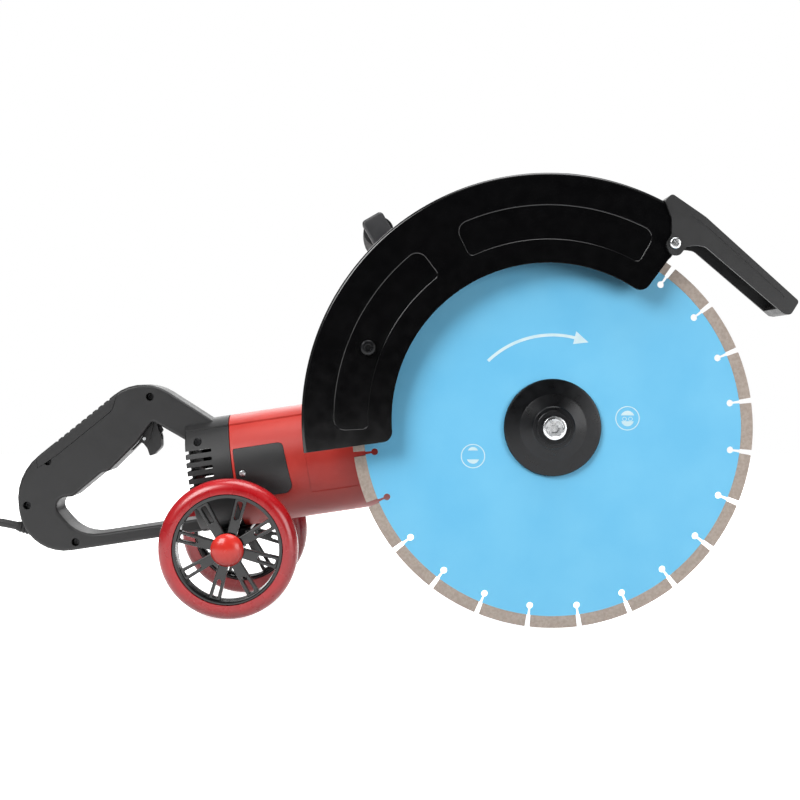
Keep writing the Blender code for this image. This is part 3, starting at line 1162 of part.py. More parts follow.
def rim_windows():
    """Cutters for the openings between spokes and the slot down the middle of each spoke."""
    tools = []
    pitch = 2 * math.pi / SPOKE_COUNT
    outer = TYRE_INNER - RIM_LIP - mm
    inner = HUB_RADIUS + 5 * mm
    half = SPOKE_WIDTH / 2
    for count in range(SPOKE_COUNT):
        spoke = SPOKE_FIRST_ANGLE + count * pitch
        low, high = spoke + math.asin(half / inner), spoke + pitch - math.asin(half / inner)
        window = arc((0, 0), inner, low, high, 1)
        low, high = spoke + math.asin(half / outer), spoke + pitch - math.asin(half / outer)
        window += arc((0, 0), outer, high, low, 3)
        tools.append(prism("cut", window, -20 * mm, 20 * mm))
        radial = polar(1, spoke)
        across = Vector((-radial.y, radial.x)) * SPOKE_SLOT_WIDTH / 2
        slot = arc(radial * SPOKE_SLOT_START, SPOKE_SLOT_WIDTH / 2, spoke + math.pi / 2,
                   spoke + 1.5 * math.pi, 3)
        slot += [radial * outer - across, radial * outer + across]
        tools.append(prism("cut", slot, -20 * mm, 20 * mm))
    return tools


def make_wheel(label, depth, outward, frame):
    centre = (WHEEL_PLACE, depth, wheel_centre_up())
    half = TYRE_WIDTH / 2
    inner = TYRE_INNER
    outer = WHEEL_RADIUS
    tyre = [(inner, -half), (inner + 5.5 * mm, -half), (outer - 2.4 * mm, -half + 3 * mm),
            (outer, -3.5 * mm),
            (outer, 3.5 * mm), (outer - 2.4 * mm, half - 3 * mm), (inner + 5.5 * mm, half), (inner, half)]
    place(smooth(closed_ring(f"tyre_{label}", tyre, "Y", centre, "red rubber", LARGE_FACETS), 60), frame,
          centre)
    bore = AXLE_RADIUS + GAP / 3
    rim_outer = TYRE_INNER - GAP
    wall = rim_outer - RIM_LIP + GAP
    side = RIM_WIDTH / 2
    mid = outward * 3 * mm
    rim = ring(f"rim_{label}", wall, rim_outer, -side, side, finish="gloss black steel",
               segments=LARGE_FACETS)
    disc = [polar(wall + mm, 2 * math.pi * count / LARGE_FACETS) for count in range(LARGE_FACETS)]
    spokes = prism("spokes", disc, mid - SPOKE_THICKNESS / 2, mid + SPOKE_THICKNESS / 2)
    cut(spokes, *rim_windows())
    join(rim, spokes, rod("hub", HUB_RADIUS, -side - mm, side + mm))
    cut(rim, rod("cut", bore, -side - 2 * mm, side + 2 * mm))
    rim.data.transform(Matrix.Translation(centre))
    place(smooth(rim), frame, centre)
    start = outward * (side + mm + GAP)
    reach = outward * CAP_HEIGHT
    cap = [(0, start + reach), (5 * mm, start + reach * 0.95), (10 * mm, start + reach * 0.72),
           (13.6 * mm, start + reach * 0.4), (CAP_RADIUS, start + reach * 0.08), (CAP_RADIUS, start),
           (0, start)]
    place(smooth(turned(f"hub_cap_{label}", cap, "Y", centre, "red plastic"), 60), frame, centre)


def make_axle(ground, tool):
    centre = (WHEEL_PLACE, 0, wheel_centre_up())
    reach = RIM_WIDTH / 2 + mm
    axle = rod("axle", AXLE_RADIUS, WHEEL_DEPTHS[0] - reach, WHEEL_DEPTHS[1] + reach, centre=centre,
               finish="zinc plated steel")
    place(smooth(axle), ground)
    pitch = Matrix.Rotation(TOOL_PITCH, 4, "Y")
    seat = pitch @ Vector(centre)
    top = -HOUSING_DROP - HOUSING_RADIUS + SPINE_RISE - GAP
    low, high = BRACKET_EAR_DEPTHS
    bracket = box("axle_bracket", (seat.x - 17 * mm, low, top - BRACKET_SHEET),
                  (seat.x + 17 * mm, high, top), "black oxide steel")
    ear = rounded(((seat.x / mm - 12, top / mm - 1, 0), (seat.x / mm - 12, seat.z / mm - 9, 9),
                   (seat.x / mm + 12, seat.z / mm - 9, 9), (seat.x / mm + 12, top / mm - 1, 0)))
    join(bracket, prism("ear", ear, low, low + BRACKET_SHEET),
         prism("ear", ear, high - BRACKET_SHEET, high))
    cut(bracket, rod("cut", AXLE_RADIUS + GAP / 3, low - mm, high + mm, centre=(seat.x, 0, seat.z),
                     segments=FACETS))
    place(smooth(bracket), tool)


# ---------------------------------------------------------------- cable

def gland_direction():
    return (Vector(GLAND_END) - Vector(GLAND_START)).normalized()


def gland_shape(name, grow=0, finish=None):
    """Strain relief: a collar held between the handle shells and a short tapered sleeve."""
    length = (Vector(GLAND_END) - Vector(GLAND_START)).length
    collar = GLAND_COLLAR_LENGTH
    outline = [(0, -grow), (GLAND_COLLAR_RADIUS + grow, -grow), (GLAND_COLLAR_RADIUS + grow, collar + grow),
               (CABLE_RADIUS + 2.4 * mm + grow, collar + grow),
               (CABLE_RADIUS + 2.2 * mm + grow, length - 5 * mm),
               (CABLE_RADIUS + mm + grow, length + grow), (0, length + grow)]
    shape = turned(name, outline, "Z", finish=finish)
    direction = gland_direction()
    turn = Vector((direction.x, 0, direction.y)).to_track_quat("Z", "Y").to_matrix().to_4x4()
    shape.data.transform(Matrix.Translation((GLAND_START[0], MOTOR_AXIS_DEPTH, GLAND_START[1])) @ turn)
    return shape


def smooth_route(points, spacing):
    """Evenly spaced points on a smooth curve through the route's own points."""
    ends = [points[0] * 2 - points[1]] + points + [points[-1] * 2 - points[-2]]
    fine = []
    for a, b, c, d in zip(ends, ends[1:], ends[2:], ends[3:]):
        for count in range(12):
            t = count / 12
            fine.append(0.5 * ((2 * b) + (c - a) * t + (2 * a - 5 * b + 4 * c - d) * t * t
                               + (3 * b - a - 3 * c + d) * t ** 3))
    fine.append(points[-1])
    total = sum((q - p).length for p, q in zip(fine, fine[1:]))
    count = max(2, round(total / spacing))
    kept = [fine[0]]
    walked = 0
    for p, q in zip(fine, fine[1:]):
        step = (q - p).length
        while len(kept) <= count - 1 and walked + step >= total * len(kept) / count:
            kept.append(p.lerp(q, (total * len(kept) / count - walked) / step))
        walked += step
    kept.append(fine[-1])
    return kept


def cable_tube(name, points, parent):
    """A plain round cable along the route, as a curve with a round bevel and closed ends."""
    curve = bpy.data.curves.new(name, "CURVE")
    curve.dimensions = "3D"
    curve.bevel_depth = CABLE_RADIUS
    curve.bevel_resolution = 2
    curve.use_fill_caps = True
    route = smooth_route(points, 2.4 * 2 * CABLE_RADIUS)
    spline = curve.splines.new("POLY")
    spline.points.add(len(route) - 1)
    for spot, point in zip(spline.points, route):
        spot.co = (*point, 1)
    made = bpy.data.objects.new(name, curve)
    bpy.context.collection.objects.link(made)
    curve.materials.append(material("soft black rubber"))
    made.parent = parent
    return made


def make_cable(ground, tool):
    place(smooth(gland_shape("cable_gland", 0, "soft black rubber")), tool)
    cable_tube("cord", [Vector(p) * mm for p in CABLE_ROUTE], ground)
    cable_tube("cord_tail", [Vector(p) * mm for p in TAIL_ROUTE], ground)
    floor = -SPINDLE_HEIGHT
    low = floor + COIL_LIFT
    centre = (*COIL_CENTRE, 0)
    edge = 3 * mm
    top = low + COIL_HEIGHT
    profile = [(COIL_INNER + edge, low), (COIL_OUTER - edge, low), (COIL_OUTER, low + edge),
               (COIL_OUTER, top - edge),
               (COIL_OUTER - edge, top), (COIL_INNER + edge, top), (COIL_INNER, top - edge),
               (COIL_INNER, low + edge)]
    place(smooth(closed_ring("cord_coil", profile, "Z", centre, "soft black rubber", FACETS + 8), 60),
          ground)
    make_tie(ground, low, top)
    make_plug(ground, floor)


def make_tie(ground, low, top):
    """Strap round the coil's bundle."""
    inner_low, inner_high = COIL_INNER - GAP, COIL_OUTER + 2 * GAP
    half = TIE_WIDTH / 2
    thick = TIE_THICKNESS
    tie = box("coil_tie", (inner_low - 2 * mm, -half, low - GAP - thick),
              (inner_high + thick, half, top + GAP + thick),
              "soft black rubber")
    cut(tie, box("cut", (inner_low - 2 * mm + thick, -half - mm, low - GAP),
                 (inner_high, half + mm, top + GAP)))
    tie.data.transform(Matrix.Translation((*COIL_CENTRE, 0)) @ Matrix.Rotation(TIE_ANGLE, 4, "Z"))
    place(tie, ground)


def make_plug(ground, floor):
    """Two-pin plug lying on its side, with a moulded sleeve over the cable's end."""
    r = PLUG_BODY_RADIUS
    end = PLUG_LENGTH - GAP
    profile = [(0, 0), (r - 2 * mm, 0), (r, 2 * mm), (r, 15 * mm), (r - 2 * mm, 18 * mm),
               (r - 5 * mm, 30 * mm),
               (10 * mm, 40 * mm), (7 * mm, 46 * mm), (CABLE_RADIUS + 1.6 * mm, end), (0, end)]
    plug = turned("plug", profile, "Z", segments=36, finish="black plastic")
    for side in (-1, 1):
        pin_place = (side * PLUG_PIN_SPACING / 2, 0, 0)
        join(plug, rod("pin", PLUG_PIN_RADIUS, -PLUG_PIN_LENGTH, 2 * mm, "Z", pin_place,
                       segments=SMALL_FACETS))
    turn = Matrix.Rotation(PLUG_HEADING, 4, "Z") @ Matrix.Rotation(math.radians(90), 4, "Y")
    plug.data.transform(Matrix.Translation((*PLUG_PLACE, floor + r + GAP / 3)) @ turn)
    place(smooth(plug), ground)


# ---------------------------------------------------------------- whole saw

def set_down(root):
    """Moves the saw so that its own box, without the cable, is centred on the origin and stands at z = 0."""
    bpy.context.view_layer.update()
    loose = {"cord", "cord_tail", "cord_coil", "coil_tie", "plug"}
    points = [obj.matrix_world @ vert.co for obj in bpy.data.objects
              if obj.type == "MESH" and obj.name not in loose for vert in obj.data.vertices]
    middle = [(min(p[i] for p in points) + max(p[i] for p in points)) / 2 for i in range(2)]
    root.location = (-middle[0], -middle[1], SPINDLE_HEIGHT)


def build():
    clear_scene()
    root = empty("saw")
    tool = empty("tool_frame", root, rotation=(0, -TOOL_PITCH, 0))
    make_blade(root)
    make_flanges(root)
    make_spindle(tool)
    make_gears(tool, tool)
    make_rotor(tool)
    make_bearings(tool)
    make_motor_internals(tool)
    make_motor_housing(tool)
    make_brush_covers(tool)
    make_gear_case(tool)
    make_spindle_lock(tool)
    make_bearing_shield(tool)
    make_spindle_carrier(tool)
    half = HANDLE_THICKNESS / 2
    handle_half("handle_near", MOTOR_AXIS_DEPTH - half, MOTOR_AXIS_DEPTH - GAP / 2, True, tool)
    handle_half("handle_far", MOTOR_AXIS_DEPTH + GAP / 2, MOTOR_AXIS_DEPTH + half, False, tool)
    make_grip_inlay(tool)
    make_switch(tool)
    make_trigger(tool)
    make_lever(tool)
    make_loop_handle(tool)
    make_guard(root)
    make_deflector(root, root)
    for label, depth, outward in (("near", WHEEL_DEPTHS[0], -1), ("far", WHEEL_DEPTHS[1], 1)):
        make_wheel(label, depth, outward, root)
    make_axle(root, tool)
    make_cable(root, tool)
    set_down(root)


build()
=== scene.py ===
# %% [markdown]
# # Concrete cut-off saw
# An electric cut-off saw with a 350 mm diamond blade, a pressed steel guard, a red motor
# housing, a black D-handle and two carriage wheels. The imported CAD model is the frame. Each
# visible CAD part is replaced here by a finished piece that sits in the same place and rides
# on the same moving body, so the saw still works as a mechanism.

import json
import math

import bmesh
import bpy
from mathutils import Matrix, Vector


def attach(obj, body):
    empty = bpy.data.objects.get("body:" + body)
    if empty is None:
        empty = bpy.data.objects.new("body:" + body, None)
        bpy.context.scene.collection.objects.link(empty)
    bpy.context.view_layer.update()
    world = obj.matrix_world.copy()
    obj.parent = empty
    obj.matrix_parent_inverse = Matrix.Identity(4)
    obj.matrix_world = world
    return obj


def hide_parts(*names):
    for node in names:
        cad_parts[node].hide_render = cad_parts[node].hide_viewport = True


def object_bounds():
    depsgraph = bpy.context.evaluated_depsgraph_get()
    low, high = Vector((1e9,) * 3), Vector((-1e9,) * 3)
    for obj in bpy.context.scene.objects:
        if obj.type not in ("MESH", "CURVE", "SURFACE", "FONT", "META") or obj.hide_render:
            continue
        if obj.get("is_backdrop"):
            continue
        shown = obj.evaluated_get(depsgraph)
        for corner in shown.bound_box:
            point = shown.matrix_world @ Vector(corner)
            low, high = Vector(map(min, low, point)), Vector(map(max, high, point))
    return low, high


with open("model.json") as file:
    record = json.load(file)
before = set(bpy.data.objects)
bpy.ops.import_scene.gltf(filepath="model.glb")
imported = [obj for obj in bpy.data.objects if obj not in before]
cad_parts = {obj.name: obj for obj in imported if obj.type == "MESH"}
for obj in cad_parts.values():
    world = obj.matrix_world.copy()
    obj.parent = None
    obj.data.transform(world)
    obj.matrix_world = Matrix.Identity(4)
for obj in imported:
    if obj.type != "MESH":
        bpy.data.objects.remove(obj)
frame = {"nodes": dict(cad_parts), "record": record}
cad_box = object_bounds()
nodes = frame["nodes"]
mm = 0.001

# %% [markdown]
# ## Where things are
# The drawings of the saw use two frames with one origin, where the spindle's axis meets the
# blade. GROUND is level. TOOL is pitched nose up by 8.5 degrees, so that its X runs along
# the motor. In both, X is along the saw, Y is depth away from the viewer, and Z is up.

# %% Frames
joints = {joint["name"]: joint for joint in frame["record"]["behaviour"]["joints"]}
SPINDLE = Vector(joints["spindle_spin"]["pos_m"])
GROUND = Matrix.Translation(SPINDLE)
TOOL_PITCH = 8.5
TOOL = GROUND @ Matrix.Rotation(math.radians(-TOOL_PITCH), 4, "Y")
SPLIT = 120 * mm
FLOOR = -175 * mm
print("spindle at", [round(value, 4) for value in SPINDLE])

# %% [markdown]
# ## Camera, floor and light
# A long lens at the blade's height looks straight at the saw's left side, as a catalogue
# shot does. A small shift frames the saw without tilting the camera. The floor and the
# surroundings are near white. The flat black guard mirrors what is behind the camera, so
# the surroundings stay dim there and the soft lights stand well to the sides and above,
# where only the rounded edges catch them.

# %% Camera
bpy.ops.object.camera_add(location=SPINDLE + Vector((-151.2, -1180, 44.9)) * mm,
                          rotation=(math.radians(90), 0, 0))
camera = bpy.context.object
camera.data.lens = 60.8
camera.data.sensor_width = 36
camera.data.shift_x = 0.02625
camera.data.shift_y = -0.03
bpy.context.scene.camera = camera
bpy.context.scene.view_settings.view_transform = "Standard"

# %% Colours and nodes
def colour(code, alpha=1.0):
    """An sRGB hex code as the linear colour that nodes use."""
    parts = [int(code[i:i + 2], 16) / 255 for i in (1, 3, 5)]
    linear = [c / 12.92 if c <= 0.04045 else ((c + 0.055) / 1.055) ** 2.4 for c in parts]
    return (*linear, alpha)


def add_node(tree, kind, settings=None, inputs=None, links=None):
    """Adds one node, sets it up and joins other nodes' outputs to its inputs."""
    made = tree.nodes.new(kind)
    for key, value in (settings or {}).items():
        setattr(made, key, value)
    for key, value in (inputs or {}).items():
        made.inputs[key].default_value = value
    for key, source in (links or {}).items():
        tree.links.new(source, made.inputs[key])
    return made


# %% Floor, surroundings and lights
bpy.ops.object.select_all(action="DESELECT")
bpy.ops.mesh.primitive_plane_add(size=5)
floor = bpy.context.object
floor.name = "studio_floor"
paper = bpy.data.materials.new("white_paper")
paper.use_nodes = True
paper_shader = paper.node_tree.nodes["Principled BSDF"]
paper_shader.inputs["Base Color"].default_value = colour("#F6F6F6")
paper_shader.inputs["Roughness"].default_value = 0.9
paper_shader.inputs["Specular IOR Level"].default_value = 0
paper_shader.inputs["Emission Color"].default_value = (1, 1, 1, 1)
paper_shader.inputs["Emission Strength"].default_value = 0.85
floor.data.materials.append(paper)
# Its bounce is left out, so that the saw's undersides stay dark.
floor.visible_diffuse = False
floor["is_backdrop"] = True

# A black card behind the camera keeps the guard's flat face dark. Only reflections see it.
bpy.ops.mesh.primitive_plane_add(size=3.2, location=SPINDLE + Vector((-0.15, -2.6, 0.1)),
                                 rotation=(math.radians(90), 0, 0))
card = bpy.context.object
card.name = "black_card"
card.visible_camera = False
felt = bpy.data.materials.new("black_felt")
felt.use_nodes = True
felt.node_tree.nodes["Principled BSDF"].inputs["Base Color"].default_value = colour("#0A0A0A")
felt.node_tree.nodes["Principled BSDF"].inputs["Specular IOR Level"].default_value = 0
card.data.materials.append(felt)
card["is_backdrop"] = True

world = bpy.data.worlds.new("studio")
world.use_nodes = True
bpy.context.scene.world = world
sky = world.node_tree
sky.nodes.clear()
sight = add_node(sky, "ShaderNodeLightPath")
seen = add_node(sky, "ShaderNodeBackground", inputs={"Color": (1, 1, 1, 1), "Strength": 1.0})
around = add_node(sky, "ShaderNodeBackground", inputs={"Color": (1, 1, 1, 1), "Strength": 0.22})
choice = add_node(sky, "ShaderNodeMixShader", links={0: sight.outputs["Is Camera Ray"],
                                                    1: around.outputs[0], 2: seen.outputs[0]})
add_node(sky, "ShaderNodeOutputWorld", links={"Surface": choice.outputs[0]})

LIGHTS = (("key", (-1500, -1500, 1500), 1200, 50), ("fill", (1600, -1700, 500), 1200, 24),
          ("top", (100, -100, 1900), 1300, 34), ("rear", (-300, 1700, 900), 1200, 14))
for label, place, width, power in LIGHTS:
    spot = SPINDLE + Vector(place) * mm
    aim = (SPINDLE + Vector((-120, 60, 0)) * mm) - spot
    bpy.ops.object.light_add(type="AREA", location=spot)
    light = bpy.context.object
    light.name = label + "_softbox"
    light.rotation_euler = aim.to_track_quat("-Z", "Y").to_euler()
    light.data.size = width * mm
    light.data.energy = power
    light.visible_camera = False
print(len(LIGHTS), "soft lights")

# %% [markdown]
# ## Tools of the trade
# Four small helpers do the modelling. `slab` puts a filled circle's points on an outline and
# extrudes it, `lathe` spins a profile round an axis, `carve` cuts one shape with others, and
# `soften` rounds what is left sharp. `finish` gives a piece its material, its body and the
# CAD nodes that it stands for. Every piece is baked in place, with its object at the origin.

# %% Selecting and placing
def only(piece):
    """Makes this the one selected object."""
    if bpy.context.object and bpy.context.object.mode != "OBJECT":
        bpy.ops.object.mode_set(mode="OBJECT")
    bpy.ops.object.select_all(action="DESELECT")
    piece.select_set(True)
    bpy.context.view_layer.objects.active = piece
    return piece


def settle(piece, matrix):
    """Moves a piece by a matrix and bakes the move into its mesh."""
    only(piece)
    piece.matrix_world = matrix
    bpy.ops.object.transform_apply(location=True, rotation=True, scale=True)
    return piece


def loop_of(name, points, filled):
    """A circle whose points are put on an outline, named and left in edit mode, all selected."""
    only(camera)
    bpy.ops.mesh.primitive_circle_add(vertices=len(points), fill_type="NGON" if filled else "NOTHING")
    piece = bpy.context.object
    piece.name = piece.data.name = name
    for vert, point in zip(piece.data.vertices, points):
        vert.co = point
    bpy.ops.object.mode_set(mode="EDIT")
    bpy.ops.mesh.select_all(action="SELECT")
    return piece


# %% Slab and lathe
def slab(name, outline, near, far, matrix=GROUND, near_edge=0, far_edge=0, steps=4):
    """An outline in X and Z, extruded in Y from near to far, with either rim rounded."""
    piece = loop_of(name, [(point[0], near, point[1]) for point in outline], True)
    bpy.ops.mesh.extrude_region_move(TRANSFORM_OT_translate={"value": (0, far - near, 0)})
    bpy.ops.mesh.select_all(action="SELECT")
    bpy.ops.mesh.normals_make_consistent(inside=False)
    for depth, width in ((near, near_edge), (far, far_edge)):
        if width:
            bpy.ops.mesh.select_mode(type="EDGE")
            bpy.ops.mesh.select_all(action="DESELECT")
            shape = bmesh.from_edit_mesh(piece.data)
            for edge in shape.edges:
                if all(abs(vert.co.y - depth) < 1e-6 for vert in edge.verts):
                    edge.select_set(True)
            bpy.ops.mesh.bevel(offset=width, segments=steps, affect="EDGES", clamp_overlap=True)
    bpy.ops.object.mode_set(mode="OBJECT")
    return settle(piece, matrix)


AXES = {"Z": Matrix.Identity(4), "Y": Matrix.Rotation(math.radians(-90), 4, "X"),
        "X": Matrix.Rotation(math.radians(90), 4, "Y")}


def lathe(name, profile, centre=(0, 0, 0), axis="Y", steps=72, matrix=GROUND):
    """Spins (radius, along) points round an axis: a closed ring, or a solid if both ends are on it."""
    piece = loop_of(name, [(radius, 0, along) for radius, along in profile], False)
    if profile[0][0] == 0 and profile[-1][0] == 0:
        bpy.ops.mesh.select_mode(type="EDGE")
        bpy.ops.mesh.select_all(action="DESELECT")
        shape = bmesh.from_edit_mesh(piece.data)
        for edge in shape.edges:
            if {vert.index for vert in edge.verts} == {0, len(profile) - 1}:
                edge.select_set(True)
        bpy.ops.mesh.delete(type="EDGE")
        bpy.ops.mesh.select_all(action="SELECT")
    bpy.ops.mesh.spin(steps=steps, angle=2 * math.pi, center=(0, 0, 0), axis=(0, 0, 1))
    bpy.ops.mesh.select_all(action="SELECT")
    bpy.ops.mesh.remove_doubles(threshold=1e-6)
    bpy.ops.mesh.normals_make_consistent(inside=False)
    bpy.ops.object.mode_set(mode="OBJECT")
    return settle(piece, matrix @ Matrix.Translation(centre) @ AXES[axis])


def tube(name, inner, outer, start, end, centre=(0, 0, 0), axis="Y", steps=72, matrix=GROUND):
    return lathe(name, [(inner, start), (outer, start), (outer, end), (inner, end)], centre, axis,
                 steps, matrix)


def peg(name, radius, start, end, centre=(0, 0, 0), axis="Y", steps=48, matrix=GROUND):
    return lathe(name, [(0, start), (radius, start), (radius, end), (0, end)], centre, axis, steps,
                 matrix)


# %% Carve, soften, finish
def carve(piece, *tools, operation="DIFFERENCE"):
    """Cuts the tools out of a piece, or joins them to it, and uses them up."""
    for tool in tools:
        only(piece)
        step = piece.modifiers.new("carve", "BOOLEAN")
        step.operation = operation
        step.solver = "EXACT"
        step.object = tool
        bpy.ops.object.modifier_apply(modifier=step.name)
        bpy.data.objects.remove(tool)
    return piece


def soften(piece, width, segments=2, degrees=40):
    """Rounds the edges that are sharper than an angle."""
    only(piece)
    step = piece.modifiers.new("soften", "BEVEL")
    step.width = width
    step.segments = segments
    step.limit_method = "ANGLE"
    step.angle_limit = math.radians(degrees)
    bpy.ops.object.modifier_apply(modifier=step.name)
    return piece


def joined(name, pieces):
    """Several pieces made one object."""
    only(pieces[0])
    for piece in pieces:
        piece.select_set(True)
    bpy.ops.object.join()
    pieces[0].name = pieces[0].data.name = name
    return pieces[0]


def copies(piece, matrices):
    """The piece once for each matrix, each with its own mesh. The first one is the piece itself."""
    made = [piece]
    for matrix in matrices[1:]:
        other = piece.copy()
        other.data = piece.data.copy()
        bpy.context.collection.objects.link(other)
        made.append(settle(other, matrix))
    settle(piece, matrices[0])
    return made


def finish(piece, material, body, slot, *replaced, degrees=35):
    """Shades a piece, gives it its material and says what it rides on and stands for."""
    piece.data.materials.clear()
    piece.data.materials.append(material)
    only(piece)
    bpy.ops.object.shade_smooth_by_angle(angle=math.radians(degrees))
    even = piece.modifiers.new("even", "WEIGHTED_NORMAL")
    even.keep_sharp = True
    bpy.ops.object.modifier_apply(modifier=even.name)
    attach(piece, body)
    if replaced:
        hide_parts(*replaced)
    print(piece.name, len(piece.data.polygons), "faces")
    return piece


# %% Outlines
def arc(centre, radius, start, end, steps):
    """Points on an arc, from one angle in degrees to another, both ends included."""
    turns = [math.radians(start + (end - start) * count / steps) for count in range(steps + 1)]
    return [Vector((centre[0] + radius * math.cos(a), centre[1] + radius * math.sin(a))) for a in turns]


def rounded(corners, steps=6):
    """An outline in metres from corner points (x, z, corner radius) in millimetres."""
    points = [Vector((x, z)) * mm for x, z, _ in corners]
    outline = []
    for index, (_, _, radius) in enumerate(corners):
        here = points[index]
        back = (points[index - 1] - here).normalized()
        ahead = (points[(index + 1) % len(points)] - here).normalized()
        turn = math.pi - back.angle(ahead)
        if radius == 0 or turn < 0.01:
            outline.append(here)
            continue
        reach = radius * mm * math.tan(turn / 2)
        centre = here + (back + ahead).normalized() * (radius * mm / math.cos(turn / 2))
        first = here + back * reach - centre
        sweep = first.angle_signed(here + ahead * reach - centre)
        count = max(3, round(steps * turn / math.radians(60)))
        for step in range(count + 1):
            arm = first.copy()
            arm.rotate(Matrix.Rotation(-sweep * step / count, 2))
            outline.append(centre + arm)
    return outline


# %% [markdown]
# ## Materials
# Each one starts from the real stuff. Most share one pattern: a fine bump for the surface's
# grain, and a broader noise for uneven gloss that also gives a faint drift of colour.
# `textured` builds that from two noises whose sizes are given in millimetres.

# %% A textured finish
def textured(name, dark, light, gloss, grain, relief, metallic=0.0, patch=9.0):
    """A material with a grain of a size in mm, a relief in mm, and gloss between two values."""
    made = bpy.data.materials.new(name)
    made.use_nodes = True
    tree = made.node_tree
    shader = tree.nodes["Principled BSDF"]
    shader.inputs["Metallic"].default_value = metallic
    place = add_node(tree, "ShaderNodeTexCoord").outputs["Object"]
    broad = add_node(tree, "ShaderNodeTexNoise", inputs={"Scale": 1000 / patch, "Detail": 4.0},
                     links={"Vector": place})
    fine = add_node(tree, "ShaderNodeTexNoise", inputs={"Scale": 1000 / grain, "Detail": 3.0},
                    links={"Vector": place})
    tint = add_node(tree, "ShaderNodeValToRGB", links={"Fac": broad.outputs["Fac"]})
    tint.color_ramp.elements[0].position = 0.35
    tint.color_ramp.elements[0].color = colour(dark)
    tint.color_ramp.elements[1].position = 0.65
    tint.color_ramp.elements[1].color = colour(light)
    tree.links.new(tint.outputs["Color"], shader.inputs["Base Color"])
    shine = add_node(tree, "ShaderNodeMapRange", inputs={"From Min": 0.3, "From Max": 0.7,
                                                        "To Min": gloss[0], "To Max": gloss[1]},
                     links={"Value": broad.outputs["Fac"]})
    tree.links.new(shine.outputs["Result"], shader.inputs["Roughness"])
    bump = add_node(tree, "ShaderNodeBump", inputs={"Strength": 0.6, "Distance": relief * mm},
                    links={"Height": fine.outputs["Fac"]})
    tree.links.new(bump.outputs["Normal"], shader.inputs["Normal"])
    return made, tree, shader, place


# %% Painted and lacquered steel
# Powder coat: sprayed and baked, so it is glossy with a faint orange peel about 1 mm across.
powder_black, _, coat, _ = textured("powder_coated_steel_gloss_black", "#09090A", "#0C0C0D",
                                    (0.1, 0.14), 1.6, 0.004)
coat.inputs["IOR"].default_value = 1.5
# Lacquered blade steel: flat sprayed enamel with a satin sheen and hardly any grain.
lacquer_blue, _, coat, _ = textured("lacquered_blade_steel_sky_blue", "#70CCF9", "#79D2FC",
                                    (0.42, 0.5), 0.8, 0.008, patch=60)
# Sintered bronze and diamond grit: matt, beige grey, pitted at half a millimetre.
sintered_grit, grit, coat, _ = textured("sintered_diamond_segment", "#9D9086", "#B0A399",
                                        (0.55, 0.7), 0.7, 0.05, metallic=0.25, patch=2.2)
# Printing on the blade: thin white ink that lets a little of the blue through.
white_ink, _, _, _ = textured("screen_printed_white_ink", "#D4F2FC", "#E8FAFF", (0.45, 0.55), 0.5, 0.004)

# %% Bare and plated metals
# Black oxide on turned steel: dark, slightly blue, with rings left by the lathe tool.
black_oxide, oxide, coat, where = textured("black_oxide_turned_steel", "#08090B", "#0F1013",
                                           (0.26, 0.34), 1.2, 0.006, metallic=0.5)
centred = add_node(oxide, "ShaderNodeMapping", inputs={"Location": tuple(-SPINDLE)}, links={"Vector": where})
rings = add_node(oxide, "ShaderNodeTexWave", settings={"wave_type": "RINGS", "rings_direction": "Y"},
                 inputs={"Scale": 260.0, "Distortion": 0.3, "Detail": 1.0},
                 links={"Vector": centred.outputs["Vector"]})
ridge = add_node(oxide, "ShaderNodeBump", inputs={"Strength": 0.25, "Distance": 0.03 * mm},
                 links={"Height": rings.outputs["Fac"]})
oxide.links.new(ridge.outputs["Normal"], coat.inputs["Normal"])
# Zinc plate: bright, thin, a little cloudy.
zinc_plate, _, _, _ = textured("zinc_plated_steel", "#B9BBBD", "#D8D9DA", (0.2, 0.34), 0.5, 0.01,
                               metallic=1.0, patch=4)
# Die-cast aluminium: grey, satin, shot-blasted to a fine pebble.
cast_alloy, _, _, _ = textured("die_cast_aluminium", "#9C9EA0", "#B4B6B8", (0.42, 0.56), 0.7, 0.05,
                               metallic=0.9, patch=12)
# Electrical steel laminations and enamelled copper, for what is inside the motor.
lamination, _, coat, where = textured("stacked_electrical_steel", "#55565A", "#6C6D70", (0.4, 0.55),
                                          0.5, 0.01, metallic=0.9)
copper_wire, _, _, _ = textured("enamelled_copper_wire", "#9A4F26", "#C9783F", (0.25, 0.4), 0.9, 0.12,
                                metallic=0.9, patch=1.5)
carbon_block, _, _, _ = textured("pressed_carbon", "#151515", "#222222", (0.55, 0.7), 0.3, 0.02)

# %% Moulded plastics
# Glass-filled nylon comes out of a spark-eroded mould with a fine even texture.
nylon_red, _, coat, _ = textured("glass_filled_nylon_red", "#B9281C", "#C23024", (0.38, 0.46), 0.7,
                                 0.018, patch=30)
nylon_black, _, _, _ = textured("glass_filled_nylon_black", "#0B0B0C", "#111112", (0.44, 0.54), 0.8,
                                0.03, patch=14)
nylon_grey, _, _, _ = textured("glass_filled_nylon_dark_grey", "#333335", "#3C3C3E", (0.42, 0.52), 0.8,
                               0.03, patch=14)
# The wheels' centres are polished in the mould, so they are nearly mirror smooth.
gloss_nylon_black, _, _, _ = textured("gloss_moulded_nylon_black", "#0A0A0B", "#0E0E0F", (0.12, 0.2),
                                      2.5, 0.01)
gloss_red, _, _, _ = textured("gloss_moulded_cap_red", "#D62F27", "#DE382D", (0.2, 0.28), 2.0, 0.008)

